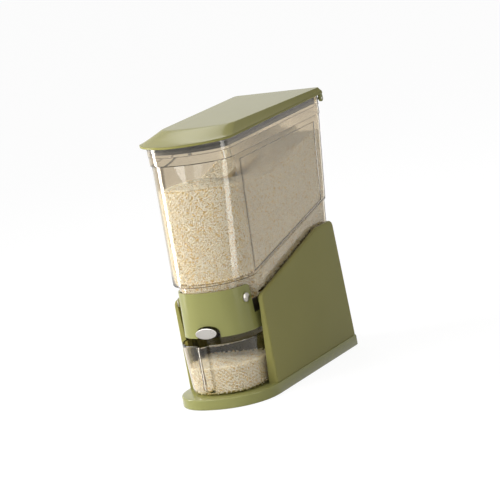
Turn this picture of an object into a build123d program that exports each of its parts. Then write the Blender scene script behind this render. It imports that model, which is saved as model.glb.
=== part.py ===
from build123d import *
import math
import os

# Rice dispenser: a clear leaning hopper in a cradle stand, a hinged lid, a press button that
# drops a flap under the hopper, and a clear measuring cup that slides forward out of its bay.
# Millimetres. +Z up, front towards -Y. The origin is on the table, at the middle of the outline.

# ---------------------------------------------------------------- driving dimensions
# foot plate
PLATE_HALF_WIDTH = 69.5
PLATE_FRONT = -173.0
PLATE_BOW_START = -104.1
PLATE_REAR = 141.8
PLATE_TOP = 15.0
PLATE_POWER = 2.2
PLATE_EDGE_ROUND = 1.6
FOOT_PROUD = 0.8
FOOT_RADIUS = 9.0
FOOT_RECESS = 1.2
FOOT_SPOTS = [(46.0, -115.0), (56.0, 100.0)]
POCKET_SIZE = (30.0, 29.0)
POCKET_DEPTH = 9.0
POCKET_PITCH = (36.0, 34.0)
POCKET_COUNT = (2, 6)
POCKET_CENTRE_Y = 20.0

# stand
STAND_HALF_WIDTH = 67.0
STAND_FRONT = -105.4
STAND_REAR_FOOT = 140.6
STAND_REAR_TOP = 133.2
STAND_TOP = 180.3
STAND_WALL = 2.6
STAND_RIM_ROUND = 2.6
PILLAR_ROOM_TALL = 45.0
SLOPE = 0.2372
SLOPE_POINT = (-100.3, 136.2)
CRADLE_HALF_WIDTH = 61.2
CRADLE_DEPTH = 6.0
BAY_FOOT_HALF_WIDTH = 54.0
BAY_TAPER_TOP = 121.0
BAY_REAR = -56.0
BAY_UPPER_REAR = -81.8
BAY_STEP_HEIGHT = 100.0
BAY_CORNER = 6.0
BOSS_SPOTS = [(60.0, -40.0), (60.0, 125.0)]
BOSS_RADIUS = 5.0
BOSS_TALL = 24.0
PLATE_SCREW_RADIUS = 2.0
PLATE_SCREW_HEAD = 3.9
PLATE_SCREW_HEAD_TALL = 2.4
PLATE_SCREW_LONG = 26.0

# hopper
WALL = 2.3
RING_TOP = 349.7
RING_STEP = 335.8
RING_FOOT = 323.5
RING_HALF_WIDTH = 61.7
RING_FRONT = -137.7
RING_BOW_START = -104.0
RING_REAR = 171.1
RING_POWER = 1.9
RING_SETBACK = 0.6
BODY_TOP_SETBACK = 0.9
LEDGE_HEIGHT = 162.0
BODY_FOOT_HALF_WIDTH = 58.6
BODY_FOOT_FRONT = -154.2
BODY_BOW_START = -97.1
BODY_CORNER = 6.5
REAR_LEAN = 0.2073
LEDGE_RISE_START = -92.0
LEDGE_SLOPE = 0.199
LOWER_SETBACK = 1.2
NECK_HALF_WIDTH = 48.6
NECK_FRONT = -144.6
NECK_REAR = -82.6
NECK_BOTTOM = 130.0
NECK_POWER = 2.4
NECK_BLEND_REAR = -70.0
LOWER_ROOF = 208.0
PANEL_DEPTH = 0.9
PANEL_FRONT_FOOT = -98.0
PANEL_FRONT_TOP = -83.0
PANEL_REAR_TOP = 145.5
PANEL_REAR_FOOT = 119.5
PANEL_TOP = 316.5
PANEL_ABOVE_LEDGE = 5.0
HINGE = (169.3, 343.5)
HINGE_BOSS_RADIUS = 4.0
HINGE_BOSS_OUTSIDE = 62.9
HINGE_PIN_RADIUS = 1.6

# collar
COLLAR_TOP = 153.4
COLLAR_FOOT = 92.3
COLLAR_HALF_WIDTH = 51.2
COLLAR_FLARE = 2.2
COLLAR_FRONT = -147.3
COLLAR_BOW_START = -98.1
COLLAR_POWER = 2.37
COLLAR_WALL = 2.0
COLLAR_REAR = -105.5
COLLAR_SHOULDER = 113.0
COLLAR_SKIRT_REAR = -92.0
COLLAR_CORNER = 6.0
SCREW_PLACE = (-117.8, 137.3)
SCREW_HEAD_RADIUS = 6.0
SCREW_HEAD_THICK = 2.0
SCREW_RADIUS = 1.6
SCREW_LONG = 8.0

# gate housing
HOUSING_FOOT = 112.0
HOUSING_HALF_WIDTH = 49.0
HOUSING_FRONT = -144.4
HOUSING_REAR = -83.5
HOUSING_GAP = 0.2
CAVITY_HALF_WIDTH = 34.5
CAVITY_Y = (-137.5, -87.0)
CAVITY_TOP = 125.8
MOUTH_HALF_WIDTH = 24.0
MOUTH_Y = (-130.0, -104.0)
RAIL_Y = (-128.0, -105.0)
RAIL_FOOT = 98.4
RAIL_WALL = 3.0
RAIL_LIP = 1.3
HOUSING_SCREW_SPOTS = [(44.2, -106.0), (44.8, -90.0)]
HOUSING_SCREW_RADIUS = 1.4
HOUSING_SCREW_HEAD = 2.7
HOUSING_SCREW_LONG = 30.0
NECK_BOSS_RADIUS = 3.2
NECK_BOSS_TALL = 16.0

# flap, pin and spring
PIVOT = (-93.0, 117.0)
PIN_RADIUS = 1.5
PIN_HALF_LONG = 40.5
FLAP_HALF_WIDTH = 28.0
FLAP_Y = (-133.5, -98.0)
FLAP_THICKNESS = 2.4
EAR_INSIDE = 30.0
EAR_OUTSIDE = 33.0
EAR_RADIUS = 3.6
CRANK_LONG = 9.0
CRANK_THICK = 2.0
SPRING_HALF_LONG = 9.0
SPRING_RADIUS = 2.5
SPRING_WIRE_RADIUS = 0.4
SPRING_TURNS = 12
SPRING_LEG = 18.0

# button and push frame
BUTTON_HEIGHT = 99.5
BUTTON_HALF_WIDTH = 16.2
BUTTON_HALF_HEIGHT = 7.85
BUTTON_FACE = -153.1
BUTTON_THICK = 5.0
NOTCH_GAP = 1.3
NOTCH_REACH = 15.0
FRAME_FOOT = 91.4
FRAME_BAR_TALL = 3.5
FRAME_BAR_Y = (-136.6, -133.2)
STEM_HALF_WIDTH = 11.0
LUG_TOP = 103.8
LUG_THICK = 2.2
ARM_TALL = 3.6
PAD_TOP_DROP = 6.6
PAD_THICK = 3.0
BUTTON_SCREW_X = 7.0
BUTTON_SCREW_RADIUS = 1.2
BUTTON_SCREW_HEAD = 2.3

# lid
LID_FOOT = 350.0
LID_EDGE = 3.2
LID_TOP = 364.4
LID_WALL = 2.6
LID_STEPS = 6
RIM_PLAN = (68.9, 173.0, -108.6, -153.3, 1.65, 4.5)
PLATEAU_PLAN = (53.0, 163.0, -14.0, -87.0, 2.0, 4.5)
LINER_HALF_WIDTH = 62.8
LINER_REAR = 168.0
LINER_FRONT = -139.0
LINER_THICK = 2.0
SKIRT_GAP = 0.8
SKIRT_WALL = 2.2
SKIRT_FOOT = 339.3
SKIRT_REAR = 162.3
GASKET_FOOT = 343.2
GASKET_TALL = 3.2
GASKET_OUT = 0.4
GASKET_IN = 0.8
LID_SCREW_SPOTS = [(40.0, -36.0), (40.0, 52.0), (40.0, 138.0)]
LID_SCREW_RADIUS = 1.4
LID_SCREW_HEAD = 2.8
LID_SCREW_HEAD_TALL = 1.6
LID_SCREW_LONG = 9.0
LID_BOSS_RADIUS = 3.4
LID_EAR_INSIDE = 63.2
LID_EAR_THICK = 3.5
LID_EAR_RADIUS = 4.4

# cup
CUP_RIM = 85.0
CUP_HALF_WIDTH = 55.0
CUP_TAPER = 4.5
CUP_FRONT = -158.3
CUP_FRONT_LEAN = 1.2
CUP_BOW_START = -107.1
CUP_REAR = -60.5
CUP_POWER = 2.3
CUP_REAR_CORNER = 14.0
CUP_WALL = 2.0
CUP_FOOT_ROUND = 6.0
GRIP_HALF_WIDTH = 6.2
GRIP_TOP_DEPTH = 9.0
GRIP_FOOT_DEPTH = 12.4
GRIP_FOOT = 22.0
GRIP_WALL = 1.8
GRIP_ROUND = 4.0

# contents
RICE_LINE = [(-160.0, 287.0), (-91.0, 291.0), (11.0, 280.0), (58.0, 287.0), (90.0, 297.0), (175.0, 303.0)]
CUP_RICE_TOP = 57.0

# fits
REST_GAP = 0.3
PIN_FIT = 0.05
PRESS_FIT = 0.02
BOW_STEPS = 12
FOOT_STEPS = 4


# ---------------------------------------------------------------- shared shapes
def bow_points(half_width, start, front, power):
    """Rounded front: the shares of half width and of depth, each to the power, add up to one."""
    points = []
    for step in range(BOW_STEPS + 1):
        turn = math.pi * step / BOW_STEPS
        share = abs(math.cos(turn)) ** (2 / power)
        x = half_width * math.copysign(share, math.cos(turn))
        y = start + (front - start) * abs(math.sin(turn)) ** (2 / power)
        points.append((x, y))
    return points


def outline(height, half_width, rear, start, front, power=2.0, corner=6.0):
    """Plan at a height: bowed front, straight sides, rounded rear corners."""
    with BuildSketch(Plane.XY.offset(height)) as plan:
        with BuildLine():
            bow = bow_points(half_width, start, front, power)
            Spline(*bow, tangents=[(0, -1), (0, 1)], tangent_scalars=(1, 1))
            Line((-half_width, start), (-half_width, rear - corner))
            CenterArc((-half_width + corner, rear - corner), corner, 180, -90)
            Line((-half_width + corner, rear), (half_width - corner, rear))
            CenterArc((half_width - corner, rear - corner), corner, 90, -90)
            Line((half_width, rear - corner), (half_width, start))
        make_face()
    return plan.sketch


def prism(foot, top, *plan, mode=Mode.ADD):
    """Upright body on one plan."""
    extrude(outline(foot, *plan), amount=top - foot, mode=mode)


def across(points, half_width, mode=Mode.SUBTRACT):
    """A side profile (y, z) carried across the object, added, cut away or kept."""
    with BuildSketch(Plane.YZ) as profile:
        with BuildLine():
            Polyline(*points, close=True)
        make_face()
    extrude(profile.sketch, amount=half_width, both=True, mode=mode)


def box(x_range, y_range, z_range, mode=Mode.ADD):
    """Upright box between two limits each way."""
    with BuildSketch(Plane.XY.offset(z_range[0])) as floor:
        with Locations(((x_range[0] + x_range[1]) / 2, (y_range[0] + y_range[1]) / 2)):
            Rectangle(abs(x_range[1] - x_range[0]), abs(y_range[1] - y_range[0]))
    extrude(floor.sketch, amount=z_range[1] - z_range[0], mode=mode)


def posts(spots, radius, foot, top, mode=Mode.ADD):
    """Upright round posts, or round holes."""
    with BuildSketch(Plane.XY.offset(foot)) as rounds:
        with Locations(*spots):
            Circle(radius)
    extrude(rounds.sketch, amount=top - foot, mode=mode)


def side_disc(place, radius, x_from, x_to, mode=Mode.ADD):
    """Round disc or hole with its axis across the object, at a place (y, z)."""
    with BuildSketch(Plane.YZ.offset(x_from)) as disc:
        with Locations(place):
            Circle(radius)
    extrude(disc.sketch, amount=x_to - x_from, mode=mode)


def mirrored(spots):
    """The same spots on the right and on the left."""
    return [(side * x, y) for x, y in spots for side in (1, -1)]


# ---------------------------------------------------------------- foot plate, feet, screws
SCREW_SEAT = FOOT_PROUD + PLATE_TOP / 3 - PIN_FIT
with BuildPart() as base_plate:
    prism(
        FOOT_PROUD, PLATE_TOP, PLATE_HALF_WIDTH, PLATE_REAR, PLATE_BOW_START, PLATE_FRONT, PLATE_POWER
    )
    fillet(base_plate.faces().sort_by(Axis.Z)[-1].edges(), PLATE_EDGE_ROUND)
    chamfer(base_plate.faces().sort_by(Axis.Z)[0].edges(), PLATE_EDGE_ROUND / 2)
    with BuildSketch(Plane.XY.offset(FOOT_PROUD)):
        with Locations((0, POCKET_CENTRE_Y)):
            with GridLocations(*POCKET_PITCH, *POCKET_COUNT):
                RectangleRounded(*POCKET_SIZE, 3)
    extrude(amount=POCKET_DEPTH, mode=Mode.SUBTRACT)
    posts(mirrored(FOOT_SPOTS), FOOT_RADIUS + REST_GAP, 0, FOOT_PROUD + FOOT_RECESS, Mode.SUBTRACT)
    posts(mirrored(BOSS_SPOTS), PLATE_SCREW_HEAD + REST_GAP, 0, SCREW_SEAT + PIN_FIT, Mode.SUBTRACT)
    posts(mirrored(BOSS_SPOTS), PLATE_SCREW_RADIUS + PIN_FIT, 0, PLATE_TOP + 1, Mode.SUBTRACT)
base_plate.part.label = "base_plate"

with BuildPart() as rubber_feet:
    posts(mirrored(FOOT_SPOTS), FOOT_RADIUS, 0, FOOT_PROUD + FOOT_RECESS - PIN_FIT)
    chamfer(rubber_feet.faces().group_by(Axis.Z)[0].edges(), 0.4)
rubber_feet.part.label = "rubber_feet"

with BuildPart() as plate_screws:
    posts(mirrored(BOSS_SPOTS), PLATE_SCREW_HEAD, SCREW_SEAT - PLATE_SCREW_HEAD_TALL, SCREW_SEAT)
    posts(mirrored(BOSS_SPOTS), PLATE_SCREW_RADIUS, SCREW_SEAT, SCREW_SEAT + PLATE_SCREW_LONG)
    with BuildSketch(Plane.XY.offset(SCREW_SEAT - PLATE_SCREW_HEAD_TALL)):
        with Locations(*mirrored(BOSS_SPOTS)):
            Rectangle(4.4, 1)
            Rectangle(1, 4.4)
    extrude(amount=PLATE_SCREW_HEAD_TALL / 2, mode=Mode.SUBTRACT)
plate_screws.part.label = "plate_screws"


# ---------------------------------------------------------------- stand
def slope_height(y, drop=0.0):
    """Height of the stand's sloping top edge at y, lowered by a drop."""
    return SLOPE_POINT[1] + SLOPE * (y - SLOPE_POINT[0]) - drop


SLOPE_END = SLOPE_POINT[0] + (STAND_TOP - SLOPE_POINT[1]) / SLOPE
STAND_REAR_LEAN = (STAND_REAR_FOOT - STAND_REAR_TOP) / (STAND_TOP - PLATE_TOP)
BAY_TAPER = (CRADLE_HALF_WIDTH - BAY_FOOT_HALF_WIDTH) / (BAY_TAPER_TOP - PLATE_TOP)


def stand_profile(inset, drop):
    """Side profile of the stand, inset all round and lowered at the top."""
    rear_foot = STAND_REAR_FOOT - inset
    rear_top = rear_foot - STAND_REAR_LEAN * (STAND_TOP - PLATE_TOP)
    front = STAND_FRONT + inset
    foot = PLATE_TOP if inset == 0 else PLATE_TOP - 1
    return [
        (front, foot),
        (front, slope_height(front, drop)),
        (SLOPE_END, STAND_TOP - drop),
        (rear_top, STAND_TOP - drop),
        (rear_foot, foot),
    ]


def bay_plan(height, rear, grow):
    """Plan of the room for the cup, narrower at its foot, grown by a wall."""
    half_width = CRADLE_HALF_WIDTH - BAY_TAPER * max(BAY_TAPER_TOP - height, 0) + grow
    front = 2 * PLATE_FRONT
    with BuildSketch(Plane.XY.offset(height)) as plan:
        with Locations((0, (rear + grow + front) / 2)):
            RectangleRounded(2 * half_width, rear + grow - front, BAY_CORNER + grow)
    return plan.sketch


def bay_body(grow):
    """Lower room for the cup and upper room for the outlet, grown by a wall."""
    floor = PLATE_TOP - 1
    step = BAY_STEP_HEIGHT + grow
    loft([bay_plan(floor, BAY_REAR, grow), bay_plan(step, BAY_REAR, grow)], ruled=True)
    upper = [bay_plan(height, BAY_UPPER_REAR, grow) for height in (floor, BAY_TAPER_TOP)]
    loft(upper, ruled=True)
    extrude(bay_plan(BAY_TAPER_TOP, BAY_UPPER_REAR, grow), amount=STAND_TOP + 5 - BAY_TAPER_TOP)


with BuildPart() as bay_room:
    bay_body(0)
with BuildPart() as bay_skin:
    bay_body(STAND_WALL)
with BuildPart() as stand_hollow:
    across(
        stand_profile(STAND_WALL, CRADLE_DEPTH + STAND_WALL), STAND_HALF_WIDTH - STAND_WALL, Mode.ADD
    )
    add(bay_skin.part, mode=Mode.SUBTRACT)
    pillar_depth = (STAND_FRONT, BAY_UPPER_REAR + STAND_WALL)
    pillar_width = (-STAND_HALF_WIDTH, STAND_HALF_WIDTH)
    box(pillar_width, pillar_depth, (PLATE_TOP + PILLAR_ROOM_TALL, STAND_TOP), Mode.SUBTRACT)

with BuildPart() as stand_shell:
    across(stand_profile(0, 0), STAND_HALF_WIDTH, Mode.ADD)
    long_edges = stand_shell.edges().filter_by(Axis.X)
    fillet(long_edges.group_by(Axis.Z)[-1].sort_by(Axis.Y)[-1], 9)
    long_edges = stand_shell.edges().filter_by(Axis.X).sort_by(Axis.Y)
    fillet([edge for edge in long_edges if edge.center().Z > PLATE_TOP + 5][0], 8)
    rim = [
        edge
        for edge in stand_shell.edges()
        if abs(abs(edge.center().X) - STAND_HALF_WIDTH) < 0.01 and edge.center().Z > PLATE_TOP + 1
    ]
    fillet(rim, STAND_RIM_ROUND)
    across(
        [
            (STAND_FRONT - 5, slope_height(STAND_FRONT - 5, CRADLE_DEPTH)),
            (SLOPE_END, STAND_TOP - CRADLE_DEPTH),
            (STAND_REAR_FOOT + 5, STAND_TOP - CRADLE_DEPTH),
            (STAND_REAR_FOOT + 5, STAND_TOP + 5),
            (STAND_FRONT - 5, STAND_TOP + 5),
        ],
        CRADLE_HALF_WIDTH,
    )
    add(bay_room.part, mode=Mode.SUBTRACT)
    add(stand_hollow.part, mode=Mode.SUBTRACT)
    posts(mirrored(BOSS_SPOTS), BOSS_RADIUS, PLATE_TOP, PLATE_TOP + BOSS_TALL)
    hole_top = SCREW_SEAT + PLATE_SCREW_LONG + 1
    posts(mirrored(BOSS_SPOTS), PLATE_SCREW_RADIUS + PIN_FIT, 0, hole_top, Mode.SUBTRACT)
stand_shell.part.label = "stand_shell"

# ---------------------------------------------------------------- hopper
BODY_TOP_PLAN = (
    RING_HALF_WIDTH - BODY_TOP_SETBACK,
    RING_REAR - BODY_TOP_SETBACK - WALL / 2,
    BODY_BOW_START,
    RING_FRONT + BODY_TOP_SETBACK + RING_SETBACK,
)
BODY_FOOT_REAR = BODY_TOP_PLAN[1] - REAR_LEAN * (RING_FOOT - LEDGE_HEIGHT)
FLOOR_DROP = CRADLE_DEPTH - REST_GAP


def body_plan(height, inset):
    """Plan of the leaning upper body at a height, inset by a wall."""
    share = (height - LEDGE_HEIGHT) / (RING_FOOT - LEDGE_HEIGHT)
    half_width = BODY_FOOT_HALF_WIDTH + share * (BODY_TOP_PLAN[0] - BODY_FOOT_HALF_WIDTH)
    rear = BODY_FOOT_REAR + share * (BODY_TOP_PLAN[1] - BODY_FOOT_REAR)
    front = BODY_FOOT_FRONT + share * (BODY_TOP_PLAN[3] - BODY_FOOT_FRONT)
    corner = BODY_CORNER - inset / 2
    return outline(height, half_width - inset, rear - inset, BODY_BOW_START, front + inset, 2.0, corner)


def ledge_line(lift):
    """Underside of the upper body: level in front, rising to the rear, lifted by a wall."""
    level = LEDGE_HEIGHT + lift
    rise = level + LEDGE_SLOPE * (2 * PLATE_REAR - LEDGE_RISE_START)
    return [
        (2 * PLATE_FRONT, 0),
        (2 * PLATE_FRONT, level),
        (LEDGE_RISE_START, level),
        (2 * PLATE_REAR, rise),
        (2 * PLATE_REAR, 0),
    ]


def upper_body(inset):
    """Upper body from the ledge to the rings."""
    loft([body_plan(LEDGE_HEIGHT - 2, inset), body_plan(RING_FOOT, inset)], ruled=True)
    across(ledge_line(inset), PLATE_HALF_WIDTH)


def neck_plan(foot, inset):
    """Plan of the lower body: narrow neck in front, blending to the full width over the cradle."""
    wide = BODY_FOOT_HALF_WIDTH - LOWER_SETBACK - inset
    narrow = NECK_HALF_WIDTH - inset
    with BuildSketch(Plane.XY.offset(foot)) as plan:
        with BuildLine():
            front = bow_points(narrow, COLLAR_BOW_START, NECK_FRONT + inset, NECK_POWER)
            Spline(*front, tangents=[(0, -1), (0, 1)], tangent_scalars=(1, 1))
            Spline(
                (-narrow, COLLAR_BOW_START), (-wide, NECK_BLEND_REAR), tangents=[(0, 1), (0, 1)]
            )
            Polyline(
                (-wide, NECK_BLEND_REAR),
                (-wide, 2 * PLATE_REAR),
                (wide, 2 * PLATE_REAR),
                (wide, NECK_BLEND_REAR),
            )
            Spline((wide, NECK_BLEND_REAR), (narrow, COLLAR_BOW_START), tangents=[(0, -1), (0, -1)])
        make_face()
    return plan.sketch


def lower_body(inset):
    """Lower body and neck, inset by a wall, over the stand's deck."""
    foot = NECK_BOTTOM if inset == 0 else NECK_BOTTOM - 1
    wide = BODY_FOOT_HALF_WIDTH - LOWER_SETBACK - inset
    corner = BODY_CORNER - inset / 2
    leaning = []
    for height in (foot, LOWER_ROOF):
        rear = BODY_FOOT_REAR - inset + REAR_LEAN * (height - LEDGE_HEIGHT)
        leaning.append(
            outline(height, wide, rear, 1.5 * BODY_BOW_START, 1.2 * PLATE_FRONT, 2.0, corner)
        )
    loft(leaning, ruled=True)
    extrude(neck_plan(foot, inset), amount=LOWER_ROOF - foot, mode=Mode.INTERSECT)
    floor = FLOOR_DROP - inset
    rear = NECK_REAR - inset
    across(
        [
            (rear, foot - 5),
            (rear, slope_height(rear, floor)),
            (SLOPE_END, STAND_TOP - floor),
            (2 * PLATE_REAR, STAND_TOP - floor),
            (2 * PLATE_REAR, foot - 5),
        ],
        PLATE_HALF_WIDTH,
    )


def rings(inset, foot, top):
    """Two stepped rings under the lid; the room inside them follows the lower ring."""
    setback = RING_SETBACK + inset
    plan = (RING_HALF_WIDTH, RING_REAR, RING_BOW_START, RING_FRONT, RING_POWER, BODY_CORNER)
    inner = (plan[0] - setback, plan[1] - setback, plan[2], plan[3] + setback, *plan[4:])
    prism(foot, top, *inner)
    if inset == 0:
        prism(RING_STEP, top, *plan)


def screw_seat():
    """Where a collar screw goes through the bow: half width there and how far it turns forward."""
    width = COLLAR_HALF_WIDTH + COLLAR_FLARE * (COLLAR_TOP - SCREW_PLACE[1]) / (COLLAR_TOP - COLLAR_FOOT)
    depth = COLLAR_BOW_START - COLLAR_FRONT
    share = (COLLAR_BOW_START - SCREW_PLACE[0]) / depth
    across_share = (1 - share**COLLAR_POWER) ** (1 / COLLAR_POWER)
    slope_x = across_share ** (COLLAR_POWER - 1) / width
    slope_y = share ** (COLLAR_POWER - 1) / depth
    return width * across_share, math.atan2(slope_y, slope_x)


SEAT_X, SEAT_TURN = screw_seat()


def seat_plane(side):
    """Plane on the collar's surface at a screw, facing outwards."""
    facing = (side * math.cos(SEAT_TURN), -math.sin(SEAT_TURN), 0)
    return Plane(origin=(side * SEAT_X, *SCREW_PLACE), x_dir=(0, 0, 1), z_dir=facing)


def seat_rounds(radius, outside, inside, mode=Mode.ADD):
    """Round posts or holes along both collar screws, from outside to inside their seats."""
    for side in (1, -1):
        with BuildSketch(seat_plane(side).offset(outside)) as ring:
            Circle(radius)
        extrude(ring.sketch, amount=-(outside + inside), mode=mode)


with BuildPart() as upper_room:
    upper_body(WALL)
with BuildPart() as lower_room:
    lower_body(WALL)
with BuildPart() as ring_room:
    rings(WALL, RING_FOOT - 0.01, RING_TOP + 1)
with BuildPart() as panel_core:
    loft([body_plan(LEDGE_HEIGHT - 10, PANEL_DEPTH), body_plan(RING_FOOT + 5, PANEL_DEPTH)], ruled=True)

PANEL_FOOT = LEDGE_HEIGHT + PANEL_ABOVE_LEDGE
PANEL_RISE = PANEL_FOOT + LEDGE_SLOPE * (PANEL_REAR_FOOT - LEDGE_RISE_START)
with BuildPart() as panel_recess:
    across(
        [
            (PANEL_FRONT_TOP, PANEL_TOP),
            (PANEL_FRONT_FOOT, PANEL_FOOT),
            (LEDGE_RISE_START, PANEL_FOOT),
            (PANEL_REAR_FOOT - 8, PANEL_RISE - 8 * LEDGE_SLOPE),
            (PANEL_REAR_FOOT, PANEL_RISE + 6),
            (PANEL_REAR_TOP, PANEL_TOP),
        ],
        PLATE_HALF_WIDTH,
        Mode.ADD,
    )
    fillet(panel_recess.edges().filter_by(Axis.X), 3)
    add(panel_core.part, mode=Mode.SUBTRACT)

with BuildPart() as lower_outer:
    lower_body(0)

with BuildPart() as hopper_room:
    add(upper_room.part)
    add(lower_room.part)
    add(ring_room.part)

with BuildPart() as hopper:
    upper_body(0)
    add(lower_outer.part)
    rings(0, RING_FOOT, RING_TOP)
    chamfer(hopper.faces().sort_by(Axis.Z)[-1].edges(), 0.9)
    add(panel_recess.part, mode=Mode.SUBTRACT)
    add(hopper_room.part, mode=Mode.SUBTRACT)
    posts(
        mirrored(HOUSING_SCREW_SPOTS), NECK_BOSS_RADIUS, NECK_BOTTOM, NECK_BOTTOM + NECK_BOSS_TALL
    )
    posts(
        mirrored(HOUSING_SCREW_SPOTS),
        HOUSING_SCREW_RADIUS + PRESS_FIT,
        NECK_BOTTOM - 1,
        NECK_BOTTOM + NECK_BOSS_TALL - 2,
        Mode.SUBTRACT,
    )
    seat_rounds(2 * SCREW_RADIUS, -COLLAR_WALL - 1, SCREW_LONG)
    seat_rounds(SCREW_RADIUS + PRESS_FIT, 1, SCREW_LONG - 1, Mode.SUBTRACT)
    for side in (1, -1):
        boss_from = side * (RING_HALF_WIDTH - WALL)
        side_disc(HINGE, HINGE_BOSS_RADIUS, boss_from, side * HINGE_BOSS_OUTSIDE)
        hole_from = side * (RING_HALF_WIDTH - WALL)
        side_disc(
            HINGE,
            HINGE_PIN_RADIUS + PRESS_FIT,
            hole_from,
            side * (HINGE_BOSS_OUTSIDE + 1),
            Mode.SUBTRACT,
        )
hopper.part.label = "hopper"

# ---------------------------------------------------------------- rice in the hopper
with BuildPart() as rice_upper:
    upper_body(WALL + REST_GAP)
with BuildPart() as rice_lower:
    lower_body(WALL + REST_GAP)
with BuildPart() as rice_in_hopper:
    add(rice_upper.part)
    add(rice_lower.part)
    above = [*RICE_LINE, (RICE_LINE[-1][0], LID_TOP), (RICE_LINE[0][0], LID_TOP)]
    across(above, PLATE_HALF_WIDTH)
    across(
        [
            (2 * PLATE_FRONT, 0),
            (2 * PLATE_FRONT, NECK_BOTTOM + REST_GAP),
            (2 * PLATE_REAR, NECK_BOTTOM + REST_GAP),
            (2 * PLATE_REAR, 0),
        ],
        PLATE_HALF_WIDTH,
    )
    boss_room = NECK_BOSS_RADIUS + REST_GAP
    boss_top = NECK_BOTTOM + NECK_BOSS_TALL + REST_GAP
    posts(mirrored(HOUSING_SCREW_SPOTS), boss_room, NECK_BOTTOM, boss_top, Mode.SUBTRACT)
    seat_rounds(2 * SCREW_RADIUS + REST_GAP, 0, SCREW_LONG + REST_GAP, Mode.SUBTRACT)
    box(
        (-MOUTH_HALF_WIDTH + REST_GAP, MOUTH_HALF_WIDTH - REST_GAP),
        (MOUTH_Y[0] + REST_GAP, MOUTH_Y[1] - REST_GAP),
        (CAVITY_TOP, NECK_BOTTOM + 1),
    )
rice_in_hopper.part.label = "rice_in_hopper"


# ---------------------------------------------------------------- collar
def collar_plan(height, inset):
    """Plan of the collar at a height, wider towards its foot, inset by a wall."""
    flare = COLLAR_FLARE * (COLLAR_TOP - height) / (COLLAR_TOP - COLLAR_FOOT)
    half_width = COLLAR_HALF_WIDTH + flare - inset
    return outline(height, half_width, 0, COLLAR_BOW_START, COLLAR_FRONT + inset, COLLAR_POWER)


NOTCH_HALF_WIDTH = BUTTON_HALF_WIDTH + NOTCH_GAP
NOTCH_HALF_HEIGHT = BUTTON_HALF_HEIGHT + NOTCH_GAP
with BuildPart() as outlet_collar:
    loft([collar_plan(COLLAR_FOOT, 0), collar_plan(COLLAR_TOP, 0)], ruled=True)
    loft(
        [collar_plan(COLLAR_FOOT - 1, COLLAR_WALL), collar_plan(COLLAR_TOP + 1, COLLAR_WALL)],
        ruled=True,
        mode=Mode.SUBTRACT,
    )
    across(
        [
            (COLLAR_REAR, COLLAR_TOP + 5),
            (COLLAR_REAR, COLLAR_SHOULDER),
            (COLLAR_SKIRT_REAR, COLLAR_SHOULDER),
            (COLLAR_SKIRT_REAR, COLLAR_FOOT - 5),
            (PLATE_REAR, COLLAR_FOOT - 5),
            (PLATE_REAR, COLLAR_TOP + 5),
        ],
        PLATE_HALF_WIDTH,
    )
    with BuildSketch(Plane.XZ.offset(-COLLAR_FRONT - NOTCH_REACH)):
        with Locations((0, BUTTON_HEIGHT)):
            Ellipse(NOTCH_HALF_WIDTH, NOTCH_HALF_HEIGHT)
        with Locations((0, BUTTON_HEIGHT - NOTCH_HALF_HEIGHT)):
            Rectangle(2 * NOTCH_HALF_WIDTH, 2 * NOTCH_HALF_HEIGHT)
    extrude(amount=2 * NOTCH_REACH, mode=Mode.SUBTRACT)
    rear_top = outlet_collar.edges().filter_by(Axis.X).group_by(Axis.Z)[-1]
    fillet(rear_top, COLLAR_CORNER)
    seat_rounds(SCREW_HEAD_RADIUS + 0.6, SCREW_HEAD_THICK / 2, COLLAR_WALL - 0.2)
    seat_rounds(SCREW_RADIUS + PIN_FIT, 5, SCREW_LONG, Mode.SUBTRACT)
outlet_collar.part.label = "outlet_collar"

HEAD_FOOT = SCREW_HEAD_THICK / 2 + PRESS_FIT
with BuildPart() as collar_screws:
    seat_rounds(SCREW_HEAD_RADIUS, HEAD_FOOT + SCREW_HEAD_THICK, -HEAD_FOOT)
    head_rims = [
        edge
        for edge in collar_screws.edges().filter_by(GeomType.CIRCLE)
        if abs(edge.center().X) > SEAT_X + SCREW_HEAD_THICK
    ]
    chamfer(head_rims, 0.7)
    seat_rounds(SCREW_RADIUS, HEAD_FOOT, SCREW_LONG - 1.5)
collar_screws.part.label = "collar_screws"

# ---------------------------------------------------------------- gate housing
HOUSING_TOP = NECK_BOTTOM - HOUSING_GAP
with BuildPart() as gate_housing:
    prism(
        HOUSING_FOOT,
        HOUSING_TOP,
        HOUSING_HALF_WIDTH,
        HOUSING_REAR,
        COLLAR_BOW_START,
        HOUSING_FRONT,
        COLLAR_POWER,
        3.0,
    )
    box(
        (-CAVITY_HALF_WIDTH, CAVITY_HALF_WIDTH),
        CAVITY_Y,
        (HOUSING_FOOT - 1, CAVITY_TOP),
        Mode.SUBTRACT,
    )
    box((-MOUTH_HALF_WIDTH, MOUTH_HALF_WIDTH), MOUTH_Y, (CAVITY_TOP - 1, HOUSING_TOP + 1), Mode.SUBTRACT)
    rail_outside = EAR_OUTSIDE + REST_GAP + RAIL_WALL
    for side in (1, -1):
        wall_from = side * (EAR_OUTSIDE + REST_GAP)
        box((wall_from, side * rail_outside), RAIL_Y, (RAIL_FOOT, HOUSING_FOOT + 1))
        lip_top = RAIL_FOOT + RAIL_LIP
        box((side * EAR_INSIDE, side * rail_outside), RAIL_Y, (RAIL_FOOT, lip_top))
        side_disc(
            PIVOT,
            PIN_RADIUS + PRESS_FIT,
            side * (CAVITY_HALF_WIDTH - 1),
            side * (PIN_HALF_LONG + REST_GAP),
            Mode.SUBTRACT,
        )
    posts(
        mirrored(HOUSING_SCREW_SPOTS),
        HOUSING_SCREW_RADIUS + PIN_FIT,
        HOUSING_FOOT - 1,
        HOUSING_TOP + 1,
        Mode.SUBTRACT,
    )
gate_housing.part.label = "gate_housing"

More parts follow.
